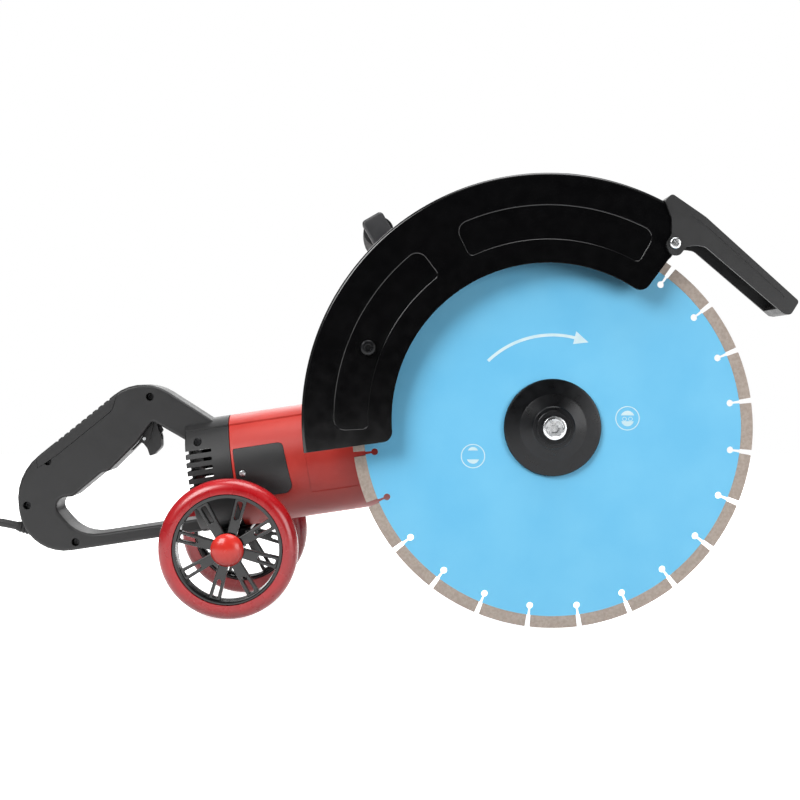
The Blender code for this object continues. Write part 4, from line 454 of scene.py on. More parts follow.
# %% Rubbers
# Cast polyurethane tread: a deep red that looks wet, with a broad soft highlight.
urethane_red, _, coat, _ = textured("cast_polyurethane_red", "#AE0D17", "#B8121B", (0.24, 0.32), 1.5,
                                    0.01, patch=20)
coat.inputs["Coat Weight"].default_value = 0.3
coat.inputs["Coat Roughness"].default_value = 0.15
elastomer, _, _, _ = textured("overmoulded_elastomer", "#101011", "#171718", (0.6, 0.72), 0.6, 0.03)
sheath, _, _, _ = textured("rubber_cable_sheath", "#121213", "#191919", (0.48, 0.6), 0.6, 0.02)
print(len(bpy.data.materials), "materials")

# %% [markdown]
# ## The cable
# An 8 mm rubber mains lead. It leaves the handle's foot straight for a few diameters, bends
# down under its own weight, runs along the floor into a neat two-layer coil and ends in a
# plug. A bevelled curve is the plain way to make it: one spline holds the whole length, so
# its real length can be measured. The coil's turns lie one diameter apart, and each steps
# over to the next ring in the same stretch, as a hand-wound coil does.

# %% Route
CABLE_RADIUS = 4 * mm
FREE_RUN = ((-499.3, 120, -99.1), (-507.1, 119.9, -97.4), (-515, 119.8, -95.8), (-524.7, 119.5, -95),
            (-534.2, 119.1, -96.9), (-542.9, 118.6, -101.2), (-550.2, 118, -107.7),
            (-555.5, 117.4, -115.9), (-558.5, 116.7, -125.1), (-559.8, 116.2, -132.8),
            (-561.2, 115.7, -140.5), (-564.3, 115.1, -150.2), (-570, 114.6, -158.6),
            (-577.8, 114.1, -165.2), (-587.1, 113.8, -169.3), (-597.1, 113.5, -170.7),
            (-607, 113.5, -170.6), (-617, 113.5, -170.2))
PLUG_RUN = ((-690.3, 186, -161.1), (-690.3, 200.6, -160.9), (-690.3, 206.3, -160.6),
            (-690.3, 213.1, -158.4), (-690.3, 219.8, -156.2), (-690.3, 225.4, -155.9),
            (-690.3, 234, -155.9))
COIL_MIDDLE = (-634, 169.8)
RING_RADII = (56.3, 48.2, 40.1, 32)
LAYERS = (-169.6, -161.1)
STEP_START = 0.6
TURNS = 7.25


def coil_point(turned):
    """A point of the coil after so many turns, clockwise from the side nearest the viewer."""
    whole = int(turned)
    share = turned - whole
    across = max(0.0, (share - STEP_START) / (1 - STEP_START))
    across = across * across * (3 - 2 * across)
    last = len(RING_RADII) - 1
    inward = whole < last
    ring = min(whole, last) if whole <= last else 2 * last - whole + 1
    after = ring + 1 if inward else ring - 1
    if whole == last:
        after = ring
    radius = RING_RADII[ring] + (RING_RADII[max(0, after)] - RING_RADII[ring]) * across
    climb = min(1.0, max(0.0, (turned - last - 0.25) / 0.35))
    climb = climb * climb * (3 - 2 * climb)
    up = LAYERS[0] + (LAYERS[1] - LAYERS[0]) * climb
    angle = math.radians(-90 - 360 * turned)
    return (COIL_MIDDLE[0] + radius * math.cos(angle), COIL_MIDDLE[1] + radius * math.sin(angle), up)


coil_steps = round(TURNS * 24)
route = [Vector(point) * mm for point in FREE_RUN]
route += [Vector(coil_point(TURNS * step / coil_steps)) * mm for step in range(coil_steps + 1)]
route += [Vector(point) * mm for point in PLUG_RUN]

# %% Cable
curve = bpy.data.curves.new("mains_cable", "CURVE")
curve.dimensions = "3D"
curve.bevel_depth = CABLE_RADIUS
curve.bevel_resolution = 4
curve.use_fill_caps = True
spline = curve.splines.new("NURBS")
spline.points.add(len(route) - 1)
for spot, point in zip(spline.points, route):
    spot.co = (*(SPINDLE + point), 1)
spline.order_u = 4
spline.resolution_u = 3
spline.use_endpoint_u = True
cable = bpy.data.objects.new("mains_cable", curve)
bpy.context.collection.objects.link(cable)
curve.materials.append(sheath)
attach(cable, "saw_body")
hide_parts("cord", "cord_coil", "cord_tail")

# %% [markdown]
# The strain relief is a ribbed rubber sleeve that tapers from the handle on to the cable.
# The plug is a plain round two-pin one lying on its side, and a strap holds the coil.

# %% Strain relief
SLEEVE_START = (-488.5, -31.8)
SLEEVE_END = (-508.2, -24.4)
sleeve_run = (Vector(SLEEVE_END) - Vector(SLEEVE_START)) * mm
sleeve_length = sleeve_run.length
profile = [(0, 0), (7 * mm, 0), (7 * mm, 5 * mm), (6.2 * mm, 5.3 * mm)]
for rib in range(4):
    start = 5.6 * mm + rib * 3.4 * mm
    swell = 6.2 * mm - rib * 0.3 * mm
    profile += [(swell - 0.7 * mm, start), (swell, start + 0.6 * mm), (swell, start + 2.2 * mm),
                (swell - 0.7 * mm, start + 2.8 * mm)]
profile += [(4.7 * mm, sleeve_length - 1.2 * mm), (4.4 * mm, sleeve_length), (0, sleeve_length)]
turn = Vector((sleeve_run.x, 0, sleeve_run.y)).to_track_quat("Z", "Y").to_matrix().to_4x4()
sleeve_place = Matrix.Translation(Vector((SLEEVE_START[0] * mm, SPLIT, SLEEVE_START[1] * mm))) @ turn
sleeve = lathe("cable_sleeve", profile, axis="Z", steps=40, matrix=TOOL @ sleeve_place)
finish(sleeve, elastomer, "saw_body", "soft_black", "cable_gland")

# %% Coil strap
strap_low = FLOOR + 1.5 * mm - 1.3 * mm
strap_high = FLOOR + 1.5 * mm + 16.6 * mm + 1.3 * mm
outline = rounded(((26.2, strap_low / mm, 4), (62.1, strap_low / mm, 4), (62.1, strap_high / mm, 4),
                   (26.2, strap_high / mm, 4)))
strap = slab("coil_strap", outline, -6 * mm, 6 * mm, Matrix.Identity(4))
inner = rounded(((27.2, strap_low / mm + 1, 3.4), (61.1, strap_low / mm + 1, 3.4),
                 (61.1, strap_high / mm - 1, 3.4), (27.2, strap_high / mm - 1, 3.4)))
carve(strap, slab("cut", inner, -8 * mm, 8 * mm, Matrix.Identity(4)))
soften(strap, 0.25 * mm)
settle(strap, GROUND @ Matrix.Translation((COIL_MIDDLE[0] * mm, COIL_MIDDLE[1] * mm, 0))
       @ Matrix.Rotation(math.radians(45), 4, "Z"))
finish(strap, elastomer, "saw_body", "soft_black", "coil_tie")

# %% Plug
PLUG_PLACE = (-690.3, 296.1)
plug_turn = Matrix.Rotation(math.radians(-90), 4, "Z") @ AXES["X"]
plug_place = Vector((PLUG_PLACE[0] * mm, PLUG_PLACE[1] * mm, FLOOR + 19.1 * mm))
plug_matrix = GROUND @ Matrix.Translation(plug_place) @ plug_turn
profile = [(0, 0), (16.4, 0), (18, 0.6), (18.8, 2), (18.8, 14), (18.2, 16), (17, 17.4), (15.4, 20),
           (13.6, 28), (12, 34), (9.4, 40), (7.2, 45)]
for rib in range(5):
    start = 46 + rib * 4.4
    swell = 7 - rib * 0.32
    profile += [(swell - 0.9, start), (swell, start + 0.8), (swell, start + 2.8), (swell - 0.9, start + 3.6)]
profile += [(5.2, 68.6), (4.6, 69.6), (0, 69.6)]
plug = lathe("mains_plug", [(r * mm, z * mm) for r, z in profile], axis="Z", steps=56, matrix=plug_matrix)
finish(plug, elastomer, "saw_body", "black_shell", "plug")
pin = lathe("plug_pin", [(0, -18.9 * mm), (1.6 * mm, -18.9 * mm), (2.35 * mm, -17.8 * mm),
                         (2.35 * mm, 1 * mm), (0, 1 * mm)], axis="Z", steps=24, matrix=Matrix.Identity(4))
pins = copies(pin, [plug_matrix @ Matrix.Translation((side * 9.5 * mm, 0, 0)) for side in (-1, 1)])
pins = finish(joined("plug_pins", pins), zinc_plate, "saw_body", "bright_steel")

# %% [markdown]
# ## The blade
# A laser-cut steel disc with 24 slots, each ending in a round hole that stops cracks, and 24
# sintered diamond segments brazed to its rim. The disc is one outline extruded thin. One
# segment is modelled and copied round. They are a little thicker than the disc, which is
# what gives the blade its clearance in the cut.

# %% Disc
SLOTS = 24
FIRST_SLOT = 7.8
PITCH = 360 / SLOTS
RIM = 164.6 * mm
KEYHOLE = 156.5 * mm


def spoke(angle, radius, aside=0.0):
    """A point at a radius along a direction in degrees, moved aside across it."""
    a = math.radians(angle)
    return Vector((math.cos(a) * radius - math.sin(a) * aside, math.sin(a) * radius + math.cos(a) * aside))


outline = []
for count in range(SLOTS):
    slot = FIRST_SLOT + count * PITCH
    outline += [spoke(slot, RIM, -1.25 * mm), spoke(slot, KEYHOLE + 3.2 * mm, -0.9 * mm)]
    outline += arc(spoke(slot, KEYHOLE), 3 * mm, slot - 20, slot - 340, 12)
    outline += [spoke(slot, KEYHOLE + 3.2 * mm, 0.9 * mm), spoke(slot, RIM, 1.25 * mm)]
    outline += arc((0, 0), RIM, slot + 1.4, slot + PITCH - 1.4, 6)
disc = slab("blade_disc", outline, -1.2 * mm, 1.2 * mm)
carve(disc, peg("cut", 12.75 * mm, -4 * mm, 4 * mm, steps=64))
finish(disc, lacquer_blue, "blade_drive", "blade_enamel", "diamond_blade")

# %% Segments
edge = 0.75
outline = arc((0, 0), 174.95 * mm, edge, PITCH - edge, 8)
outline += arc((0, 0), RIM, PITCH - edge + 0.1, edge - 0.1, 8)
segment = slab("segment", outline, -1.5 * mm, 1.5 * mm, Matrix.Identity(4))
soften(segment, 0.3 * mm, 2, 50)
turns = [GROUND @ Matrix.Rotation(-math.radians(FIRST_SLOT + count * PITCH), 4, "Y")
         for count in range(SLOTS)]
segments = joined("diamond_segments", copies(segment, turns))
finish(segments, sintered_grit, "blade_drive", "blade_enamel")

# %% [markdown]
# The printed marks are generic: a curved arrow that shows which way the blade turns, and two
# ring badges with plain shapes in them. Each is a very thin raised layer, like real ink.

# %% Printed marks
INK = -1.24 * mm


def printed(name, outline, matrix=GROUND):
    return slab(name, outline, INK, -1.19 * mm, matrix)


def ring_mark(middle, radius, width, start=0, end=360):
    """A band round a middle point, whole or part of a circle."""
    if end - start < 360:
        band = arc(middle, radius, start, end, 40) + arc(middle, radius - width, end, start, 40)
        return [printed("ink", band)]
    halves = [arc(middle, radius, low, low + 180, 32) + arc(middle, radius - width, low + 180, low, 32)
              for low in (0, 180)]
    return [printed("ink", half) for half in halves]


marks = ring_mark((0, 0), 82 * mm, 2.6 * mm, 76, 134)
head = [spoke(76, 86.5 * mm), spoke(67, 80.7 * mm), spoke(76, 75 * mm)]
marks.append(printed("ink", head))
for middle in ((-69.2 * mm, -25.0 * mm), (65.6 * mm, 8.0 * mm)):
    marks += ring_mark(middle, 10.6 * mm, 0.8 * mm)
left, right = Vector((-69.2, -25.0)) * mm, Vector((65.6, 8.0)) * mm
marks.append(printed("ink", arc(left + Vector((0, -1)) * mm, 5.6 * mm, 200, 340, 20)))
marks.append(printed("ink", arc(left + Vector((0, 3.4)) * mm, 4.6 * mm, 20, 160, 16)))
marks.append(printed("ink", arc(right + Vector((0, 0.4)) * mm, 6.2 * mm, 20, 160, 20)))
marks.append(printed("ink", arc(right + Vector((0, -1.6)) * mm, 5.4 * mm, 190, 350, 20)))
marks += ring_mark(right + Vector((-2.6, -0.6)) * mm, 1.9 * mm, 0.5 * mm)
marks += ring_mark(right + Vector((2.6, -0.6)) * mm, 1.9 * mm, 0.5 * mm)
finish(joined("blade_marks", marks), white_ink, "blade_drive", "blade_enamel")

# %% [markdown]
# ## Flanges and bolt
# The outer flange is a turned cone with two steps, blackened. The bolt's head stands in its
# middle, bright, with a hexagon socket. Both are spun from a profile, because that is how a
# lathe makes the real ones.

# %% Outer flange
face = -1.8
front = face - 11
cone = [(5.3, face), (5.3, front), (14.3, front), (14.8, front + 0.3), (15.2, front + 1.0),
        (17.8, front + 1.2), (18.3, front + 1.5), (18.9, front + 2.2), (28.2, front + 5.3),
        (28.8, front + 5.7), (29.4, front + 5.8), (40.6, face - 3.4), (41.8, face - 2.9),
        (42.4, face - 2.0), (42.5, face - 0.4), (42.1, face)]
outer = lathe("clamping_flange", [(r * mm, y * mm) for r, y in cone], steps=120)
finish(outer, black_oxide, "blade_drive", "black_oxide", "outer_flange", degrees=25)
back = [(8.8, 9.8), (8.8, -1.5), (12.4, -1.5), (12.4, 1.8), (42, 1.8), (42.5, 2.3), (42.5, 5.6), (41.8, 6),
        (20, 9.8)]
inner = lathe("seating_flange", [(r * mm, y * mm) for r, y in back], steps=96)
finish(inner, black_oxide, "blade_drive", "black_oxide", "inner_flange", degrees=25)

# %% Flange bolt
top = front - 0.3
head = [(0, 24), (5, 24), (5, top), (10.2, top), (10.3, top - 0.3), (10.3, top - 4.9), (10.0, top - 5.6),
        (9.2, top - 6), (7.6, top - 6), (7.2, top - 5.6), (7.0, top - 4.6), (0, top - 4.6)]
bolt = lathe("blade_bolt", [(r * mm, y * mm) for r, y in head], steps=64)
corners = [math.radians(60 * count) for count in range(6)]
socket = [Vector((math.cos(turn), math.sin(turn))) * 4.9 * mm for turn in corners]
carve(bolt, slab("cut", socket, (top - 8) * mm, (top - 0.5) * mm))
finish(bolt, zinc_plate, "blade_drive", "bright_steel", "flange_bolt", degrees=30)
washer = tube("blade_washer", 10.5 * mm, 14 * mm, (front - 0.25) * mm, (front + 0.3) * mm)
finish(soften(washer, 0.1 * mm), black_oxide, "blade_drive", "black_oxide")

# %% [markdown]
# ## The guard
# Two shells of 2.5 mm steel, pressed and powder coated, with their rims folded towards each
# other over the blade. Each is a sector extruded to half the guard's width, its outer edge
# rounded as a press leaves it, and then hollowed. The front one has two pressed pockets that
# stiffen it. They are cut with shapes whose floors are rounded, so their walls catch light.

# %% Guard outlines
GUARD_MIDDLE = Vector((-5.4, 7.4)) * mm
GUARD_OUTER = 212.6
GUARD_INNER = 134.9
GUARD_SHEET = 2.5
REAR_END = 187.8
FRONT_END = 53.2


def on_guard(radius, degrees):
    """A point by its radius in mm and its angle about the guard's own centre."""
    return GUARD_MIDDLE + spoke(degrees, radius * mm)


def sector(inner, outer, low, high, outer_corner, inner_corner, steps=40):
    """A curved band with rounded corners, as an outline. Sizes in mm, angles in degrees."""
    lean_out = math.degrees(math.asin(outer_corner / (outer - outer_corner)))
    lean_in = math.degrees(math.asin(inner_corner / (inner + inner_corner)))
    corner_at = on_guard(outer - outer_corner, low + lean_out)
    points = arc(corner_at, outer_corner * mm, low - 90, low + lean_out, 8)
    points += arc(GUARD_MIDDLE, outer * mm, low + lean_out, high - lean_out, steps)[1:-1]
    points += arc(on_guard(outer - outer_corner, high - lean_out), outer_corner * mm, high - lean_out,
                  high + 90, 8)
    points += arc(on_guard(inner + inner_corner, high - lean_in), inner_corner * mm, high + 90,
                  high - lean_in + 180, 8)
    points += arc(GUARD_MIDDLE, inner * mm, high - lean_in, low + lean_in, steps)[1:-1]
    points += arc(on_guard(inner + inner_corner, low + lean_in), inner_corner * mm, low + lean_in + 180,
                  low + 270, 8)
    return points


def round_where(piece, width, steps, test):
    """Rounds the edges whose two ends both pass a test of their place about the spindle."""
    only(piece)
    bpy.ops.object.mode_set(mode="EDIT")
    bpy.ops.mesh.select_mode(type="EDGE")
    bpy.ops.mesh.select_all(action="DESELECT")
    shape = bmesh.from_edit_mesh(piece.data)
    for edge in shape.edges:
        if all(test(vert.co - SPINDLE) for vert in edge.verts):
            edge.select_set(True)
    bpy.ops.mesh.bevel(offset=width, segments=steps, affect="EDGES")
    bpy.ops.object.mode_set(mode="OBJECT")
    return piece


def on_fold(depth):
    """A test for points on the guard's outer arc at one depth."""
    def test(place):
        reach = (Vector((place.x, place.z)) - GUARD_MIDDLE).length
        return abs(place.y - depth) < 1e-5 and abs(reach - GUARD_OUTER * mm) < 2e-5
    return test


nose = [on_guard(176, FRONT_END), on_guard(192, 56.2), on_guard(204, 59.4)]
rim = nose + arc(GUARD_MIDDLE, GUARD_OUTER * mm, 62, REAR_END, 96)
room = arc(GUARD_MIDDLE, (GUARD_OUTER - GUARD_SHEET) * mm, 20, 215, 120) + [Vector((-45.4, -182.6)) * mm]

# %% Front shell
lean = math.degrees(math.asin(9 / (GUARD_INNER + 9)))
inside = arc(on_guard(GUARD_INNER + 9, REAR_END - lean), 9 * mm, REAR_END + 90, REAR_END - lean + 180, 8)
inside += arc(GUARD_MIDDLE, GUARD_INNER * mm, REAR_END - lean, FRONT_END + lean, 72)[1:-1]
inside += arc(on_guard(GUARD_INNER + 9, FRONT_END + lean), 9 * mm, FRONT_END + lean + 180, FRONT_END + 270, 8)
front_shell = slab("guard_front_shell", rim + inside, -20 * mm, -0.15 * mm)
round_where(front_shell, 3 * mm, 6, on_fold(-20 * mm))
carve(front_shell, slab("cut", room, -17.5 * mm, 2 * mm))
pockets = [slab("cut", sector(155, 185, low, high, high_corner, 5), -23 * mm, -19.1 * mm, far_edge=0.75 * mm)
           for low, high, high_corner in ((60, 116, 10), (127, 183, 10))]
BOLT_PLACE = (-160.6 * mm, 0, 69.3 * mm)
FLAP_PLACE = (102.5 * mm, 0, 158.7 * mm)
carve(front_shell, *pockets, peg("cut", 3.3 * mm, -24 * mm, -15 * mm, BOLT_PLACE),
      peg("cut", 3.3 * mm, -24 * mm, -15 * mm, FLAP_PLACE))
soften(front_shell, 0.45 * mm, 3, 55)
finish(front_shell, powder_black, "guard", "guard_paint", "guard_front")

# %% Rear shell
rear_shell = slab("guard_rear_shell", rim + [GUARD_MIDDLE], 0.15 * mm, 20 * mm)
round_where(rear_shell, 3 * mm, 6, on_fold(20 * mm))
carve(rear_shell, slab("cut", room, -2 * mm, 17.5 * mm))
carve(rear_shell, peg("web", 60 * mm, 17.5 * mm, 20 * mm, steps=96), operation="UNION")
carve(rear_shell, peg("collar", 33.3 * mm, 17.5 * mm, 34 * mm, steps=72), operation="UNION")
carve(rear_shell, peg("cut", 30.3 * mm, 10 * mm, 40 * mm, steps=72),
      peg("cut", 3.3 * mm, 15 * mm, 24 * mm, FLAP_PLACE))
soften(rear_shell, 0.45 * mm, 3, 55)
finish(rear_shell, powder_black, "guard", "guard_paint", "guard_rear")

# %% Guard bolt and clamp
def hexagon(radius, middle=(0, 0)):
    """A hexagon's outline about a middle point, both in metres."""
    return [Vector(middle) + spoke(60 * side, radius) for side in range(6)]


under = -20.3
shape = [(0, 4), (1.6, 4), (5.1, 4), (5.7, 3.7), (6.2, 3.2), (6.5, 2.4), (6.5, 0), (3, 0), (3, -3.1),
         (5.5, -3.1), (5.5, -7.1), (0, -7.1)]
guard_bolt = lathe("guard_bolt_head", [(r * mm, (under - y) * mm) for r, y in shape], BOLT_PLACE, steps=48)
middle = (BOLT_PLACE[0], BOLT_PLACE[2])
carve(guard_bolt, slab("cut", hexagon(3.2 * mm, middle), (under - 6) * mm, (under - 1.4) * mm))
finish(soften(guard_bolt, 0.25 * mm, 2, 50), black_oxide, "guard", "black_oxide", "guard_bolt")
band = tube("guard_band", 33.6 * mm, 36.6 * mm, 21.5 * mm, 32.5 * mm, steps=96)
for low in (-9, 3):
    lug = [Vector((low, -47.5)) * mm, Vector((low + 6, -47.5)) * mm, Vector((low + 6, -34.8)) * mm,
           Vector((low, -34.8)) * mm]
    carve(band, slab("lug", lug, 21.5 * mm, 32.5 * mm), operation="UNION")
gap = [Vector((-3, -52)) * mm, Vector((3, -52)) * mm, Vector((3, -30)) * mm, Vector((-3, -30)) * mm]
carve(band, slab("cut", gap, 20 * mm, 34 * mm))
finish(soften(band, 0.6 * mm), black_oxide, "guard", "black_oxide", "guard_clamp")

# %% [markdown]
# ## The deflector
# A moulded nylon channel hinged on the guard's front end, which throws the dust and sparks
# down. It is one outline extruded to the guard's full width, hollowed by a smaller one.

# %% Deflector
FLAP_OUTLINE = ((93.8, 195.6, 2), (100.2, 201.2, 3), (128.8, 181.4, 30), (208.9, 108.9, 3), (201.5, 97, 4),
                (195.5, 98.2, 3), (128.5, 155.6, 8), (121, 156.8, 10), (112.6, 155.9, 3), (106.5, 148.2, 5),
                (99, 148.2, 6), (94.5, 158, 6), (99.7, 166, 4), (99.8, 180, 12))
FLAP_CHANNEL = ((88, 205, 0), (95.2, 196.3, 0), (99, 197.9, 1), (127.6, 178.4, 30), (199, 113.6, 3),
                (183, 93, 0), (88, 93, 0))
flap = slab("dust_deflector", rounded(FLAP_OUTLINE), -22.7 * mm, 22.7 * mm)
carve(flap, slab("cut", rounded(FLAP_CHANNEL), -20.3 * mm, 20.3 * mm),
      peg("cut", 3.15 * mm, -26 * mm, 26 * mm, FLAP_PLACE))
groove = rounded(((116, 183.4, 0.8), (130.5, 172.6, 20), (196.4, 113.2, 0.8), (194.9, 111.6, 0.8),
                  (129, 171, 20), (114.8, 181.6, 0.8)))
carve(flap, slab("cut", groove, -24 * mm, -22.2 * mm), slab("cut", groove, 22.2 * mm, 24 * mm))
finish(soften(flap, 1.0 * mm, 3, 55), nylon_black, "flap", "black_shell", "deflector")


def cross_slot(name, place, reach, width, low, high, matrix=GROUND, tilt=45):
    """Two crossed bars, as the recess of a cross-head screw, at a place in X and Z."""
    bars = []
    for turn in (tilt, tilt + 90):
        points = [place + spoke(turn, x, y) for x, y in ((-reach, -width), (reach, -width), (reach, width),
                                                         (-reach, width))]
        bars.append(slab(name, points, low, high, matrix))
    return bars


head = [(0, -25.9), (3.6, -25.9), (4.4, -25.6), (5.0, -24.8), (5.1, -23.1), (5.1, -22.9), (3, -22.9), (3, 23),
        (5.4, 23), (5.4, 26.6), (5.0, 27), (0, 27)]
flap_screw = lathe("deflector_pivot_screw", [(r * mm, y * mm) for r, y in head], FLAP_PLACE, steps=48)
spot = Vector((FLAP_PLACE[0], FLAP_PLACE[2]))
carve(flap_screw, *cross_slot("cut", spot, 2.7 * mm, 0.55 * mm, -28 * mm, -24.6 * mm))
finish(flap_screw, zinc_plate, "guard", "bright_steel", "deflector_screw")

# %% [markdown]
# ## Motor housing
# A red glass-filled nylon barrel with a slightly raised spine along its top. Its section is
# drawn across the motor and extruded along it, then bored out. Each side has a shallow panel
# and a window with a black cover over the carbon brushes.

# %% Section and barrel
DROP = 3.3
ALONG = TOOL @ Matrix.Translation((0, SPLIT, -DROP * mm)) @ Matrix.Rotation(math.radians(90), 4, "Z")
BARREL = 52.8
MOTOR_AXIS = (0, SPLIT, 0)
BARREL_AXIS = (0, SPLIT, -DROP * mm)


def section(radius=BARREL, rise=1.4, spine=33):
    """The barrel's outline across the motor, with the raised spine on top."""
    return (arc((0, 0), radius * mm, 90 + spine, 450 - spine, 84)
            + arc((0, 0), (radius + rise) * mm, 90 - spine + 1, 90 + spine - 1, 20))


def along_x(name, kind, radii, start, end, axis=MOTOR_AXIS, steps=96):
    """A peg or tube along the motor, by millimetres."""
    radii = [radius * mm for radius in radii]
    return kind(name, *radii, start * mm, end * mm, axis, "X", steps, TOOL)


def box(name, x, y, z, matrix=TOOL):
    """A block between two values each of X, Y and Z, in millimetres."""
    corners = [Vector((x[0], z[0])), Vector((x[1], z[0])), Vector((x[1], z[1])), Vector((x[0], z[1]))]
    return slab(name, [corner * mm for corner in corners], y[0] * mm, y[1] * mm, matrix)


COVER = ((-287, 19.6, 2), (-241, 19.6, 5), (-237.5, -22.7, 6), (-243, -27.6, 5), (-287, -27.6, 3))
COVER_GROWN = ((-287.3, 19.9, 2), (-240.7, 19.9, 5), (-237.2, -22.9, 6), (-242.8, -27.9, 5),
               (-287.3, -27.9, 3))
PANEL = ((-221, 25, 2), (-84, 25, 2), (-84, -31, 2), (-221, -31, 2))
SIDES = {"near": (50, 100), "far": (140, 190)}


def skin(name, corners, low, high, span, side):
    """A patch of a cylinder's wall on one side, between two radii, inside an outline."""
    ring = along_x(name, tube, (low, high), *span, axis=BARREL_AXIS)
    near, far = SIDES[side]
    return carve(ring, slab("keep", rounded(corners), near * mm, far * mm, TOOL), operation="INTERSECT")


barrel = slab("motor_barrel", section(), 80.3 * mm, 289.7 * mm, ALONG, near_edge=mm, far_edge=mm)
carve(barrel, along_x("cut", peg, (46.9,), -283.7, -70), along_x("cut", peg, (7,), -300, -280))
for turn in range(4):
    a = math.radians(45 + 90 * turn)
    vent = (0, SPLIT + 29 * mm * math.cos(a), 29 * mm * math.sin(a))
    carve(barrel, along_x("cut", peg, (8,), -300, -280, vent, 32))
for side in SIDES:
    carve(barrel, skin("cut", COVER_GROWN, 49.5, 62, (-296, -225), side),
          skin("cut", PANEL, 52.35, 60, (-230, -70), side))
window = (-265, -247)
carve(barrel, box("cut", window, (50, 90), (-13, 13)), box("cut", window, (150, 190), (-13, 13)))
soften(barrel, 0.3 * mm, 2, 50)
finish(barrel, nylon_red, "saw_body", "red_shell", "motor_housing")

# %% Brush covers and screw
for side in SIDES:
    cover = skin(f"brush_door_{side}", COVER, 49.8, 53.35, (-296, -225), side)
    near, far = SIDES[side]
    screw_axis = (-281 * mm, 0, -3.7 * mm)
    carve(cover, peg("cut", 3.5 * mm, near * mm, far * mm, screw_axis, matrix=TOOL))
    finish(soften(cover, 0.6 * mm, 3, 50), nylon_black, "saw_body", "black_shell", f"brush_cover_{side}")
surface = 67.2
head = [(0, surface + 2.7), (3.2, surface + 2.7), (3.2, surface + 0.3), (2.8, surface - 0.3),
        (2.2, surface - 0.6), (0, surface - 0.6)]
screw = lathe("brush_door_screw", [(r * mm, y * mm) for r, y in head], screw_axis, steps=40, matrix=TOOL)
carve(screw, *cross_slot("cut", Vector((-281, -3.7)) * mm, 1.9 * mm, 0.4 * mm, (surface - 2) * mm,
                         (surface + 0.7) * mm, TOOL, 20))
finish(screw, zinc_plate, "saw_body", "bright_steel", "cover_screw")

# %% [markdown]
# ## Rear handle
# Two shells of black nylon that meet on the motor's centre plane. Each one is a D-shaped
# outline extruded to half the handle's thickness, its outer rim well rounded for the hand,
# and joined to half of the louvred collar behind the motor. Screws sit in deep round holes.

# %% Handle outline
HANDLE_OUTSIDE = ((-299, 43, 0), (-366.7, 102.3, 44), (-499.6, 24.7, 52), (-499.6, -53.9, 43),
                  (-326, -53.9, 0))
HANDLE_INSIDE = ((-326, -41.8, 0), (-446.6, -41.8, 36), (-469.5, -5, 9), (-455, -2.6, 6), (-447.5, -3.6, 6),
                 (-417, 15, 6), (-409.5, 15.5, 6), (-379.8, 37.6, 0), (-361.5, 56, 3), (-322, 24.5, 0))
HANDLE_SCREWS = ((-360.5, 79.4), (-465.6, 33.3), (-490.9, -5.3), (-450.6, -46.4), (-319.4, 30.8))
SWITCH_BAY = ((-452, 20, 3), (-380, 62, 3), (-352, 72, 3), (-352, 60, 2), (-366, 46, 2), (-386, 40, 2),
              (-440, 8, 3))
TRIGGER_ROOM = ((-352, 70, 2), (-390, 52, 2), (-388, 28, 1), (-352, 44, 0), (-354.5, 58, 1))
INLAY = ((-392, 110, 0), (-476, 61, 0), (-476, 28, 0), (-455, 38, 10), (-398, 71.5, 10), (-388, 92, 0))
LOUVRE_HEIGHT = 3.2
LOUVRE_TOPS = [22 - 7.6 * count for count in range(6)]
handle_shape = rounded(HANDLE_OUTSIDE + HANDLE_INSIDE)


def handle_shell(side):
    """One handle shell: side -1 faces the viewer, side 1 is the far one."""
    plane = 120 + side * 0.15
    outside = 120 + side * 20
    low, high = sorted((plane, outside))
    edges = {"near_edge" if side < 0 else "far_edge": 4.6 * mm}
    shell = slab("handle_shell", handle_shape, low * mm, high * mm, TOOL, steps=5, **edges)
    ring = slab("collar", section(), 290 * mm, 331.5 * mm, ALONG, far_edge=3 * mm)
    half = (20, plane) if side < 0 else (plane, 220)
    carve(ring, box("keep", (-400, -200), half, (-90, 90)), operation="INTERSECT")
    carve(shell, ring, operation="UNION")
    tools = [along_x("cut", peg, (48.8,), -327.5, -280, BARREL_AXIS)]
    for up in LOUVRE_TOPS:
        low, high = up - LOUVRE_HEIGHT / 2, up + LOUVRE_HEIGHT / 2
        slot = rounded(((-340, low, 0), (-307, low, 1.5), (-307, high, 1.5), (-340, high, 0)))
        span = sorted((120 + side * 23, 120 + side * 70))
        tools.append(slab("cut", slot, span[0] * mm, span[1] * mm, TOOL))
    tools += [slab("cut", rounded(SWITCH_BAY), 105 * mm, 135 * mm, TOOL),
              slab("cut", rounded(TRIGGER_ROOM), 111.2 * mm, 128.8 * mm, TOOL),
              slab("cut", rounded(INLAY), 99 * mm, 141 * mm, TOOL)]
    for along, up in HANDLE_SCREWS:
        face = 120 + side * (52 if along > -330 else 20)
        span = sorted((face - side * (18 if along > -330 else 9), face + side * 9))
        tools.append(peg("cut", 3.8 * mm, span[0] * mm, span[1] * mm, (along * mm, 0, up * mm), steps=32,
                         matrix=TOOL))
    tools.append(peg("cut", 2.2 * mm, 106 * mm, 134 * mm, (-361 * mm, 0, 62.5 * mm), steps=24, matrix=TOOL))
    gland = [(0, -0.3), (7.3, -0.3), (7.3, 5.3), (6.7, 5.3), (6.5, 16.3), (5.4, 21.3), (0, 21.3)]
    tools.append(lathe("cut", [(r * mm, z * mm) for r, z in gland], axis="Z", steps=36,
                       matrix=TOOL @ sleeve_place))
    return carve(shell, *tools)


for label, side in (("near", -1), ("far", 1)):
    shell = handle_shell(side)
    shell.name = shell.data.name = f"handle_shell_{label}"
    soften(shell, 0.45 * mm, 2, 55)
    finish(shell, nylon_black, "saw_body", "black_shell", f"handle_{label}")

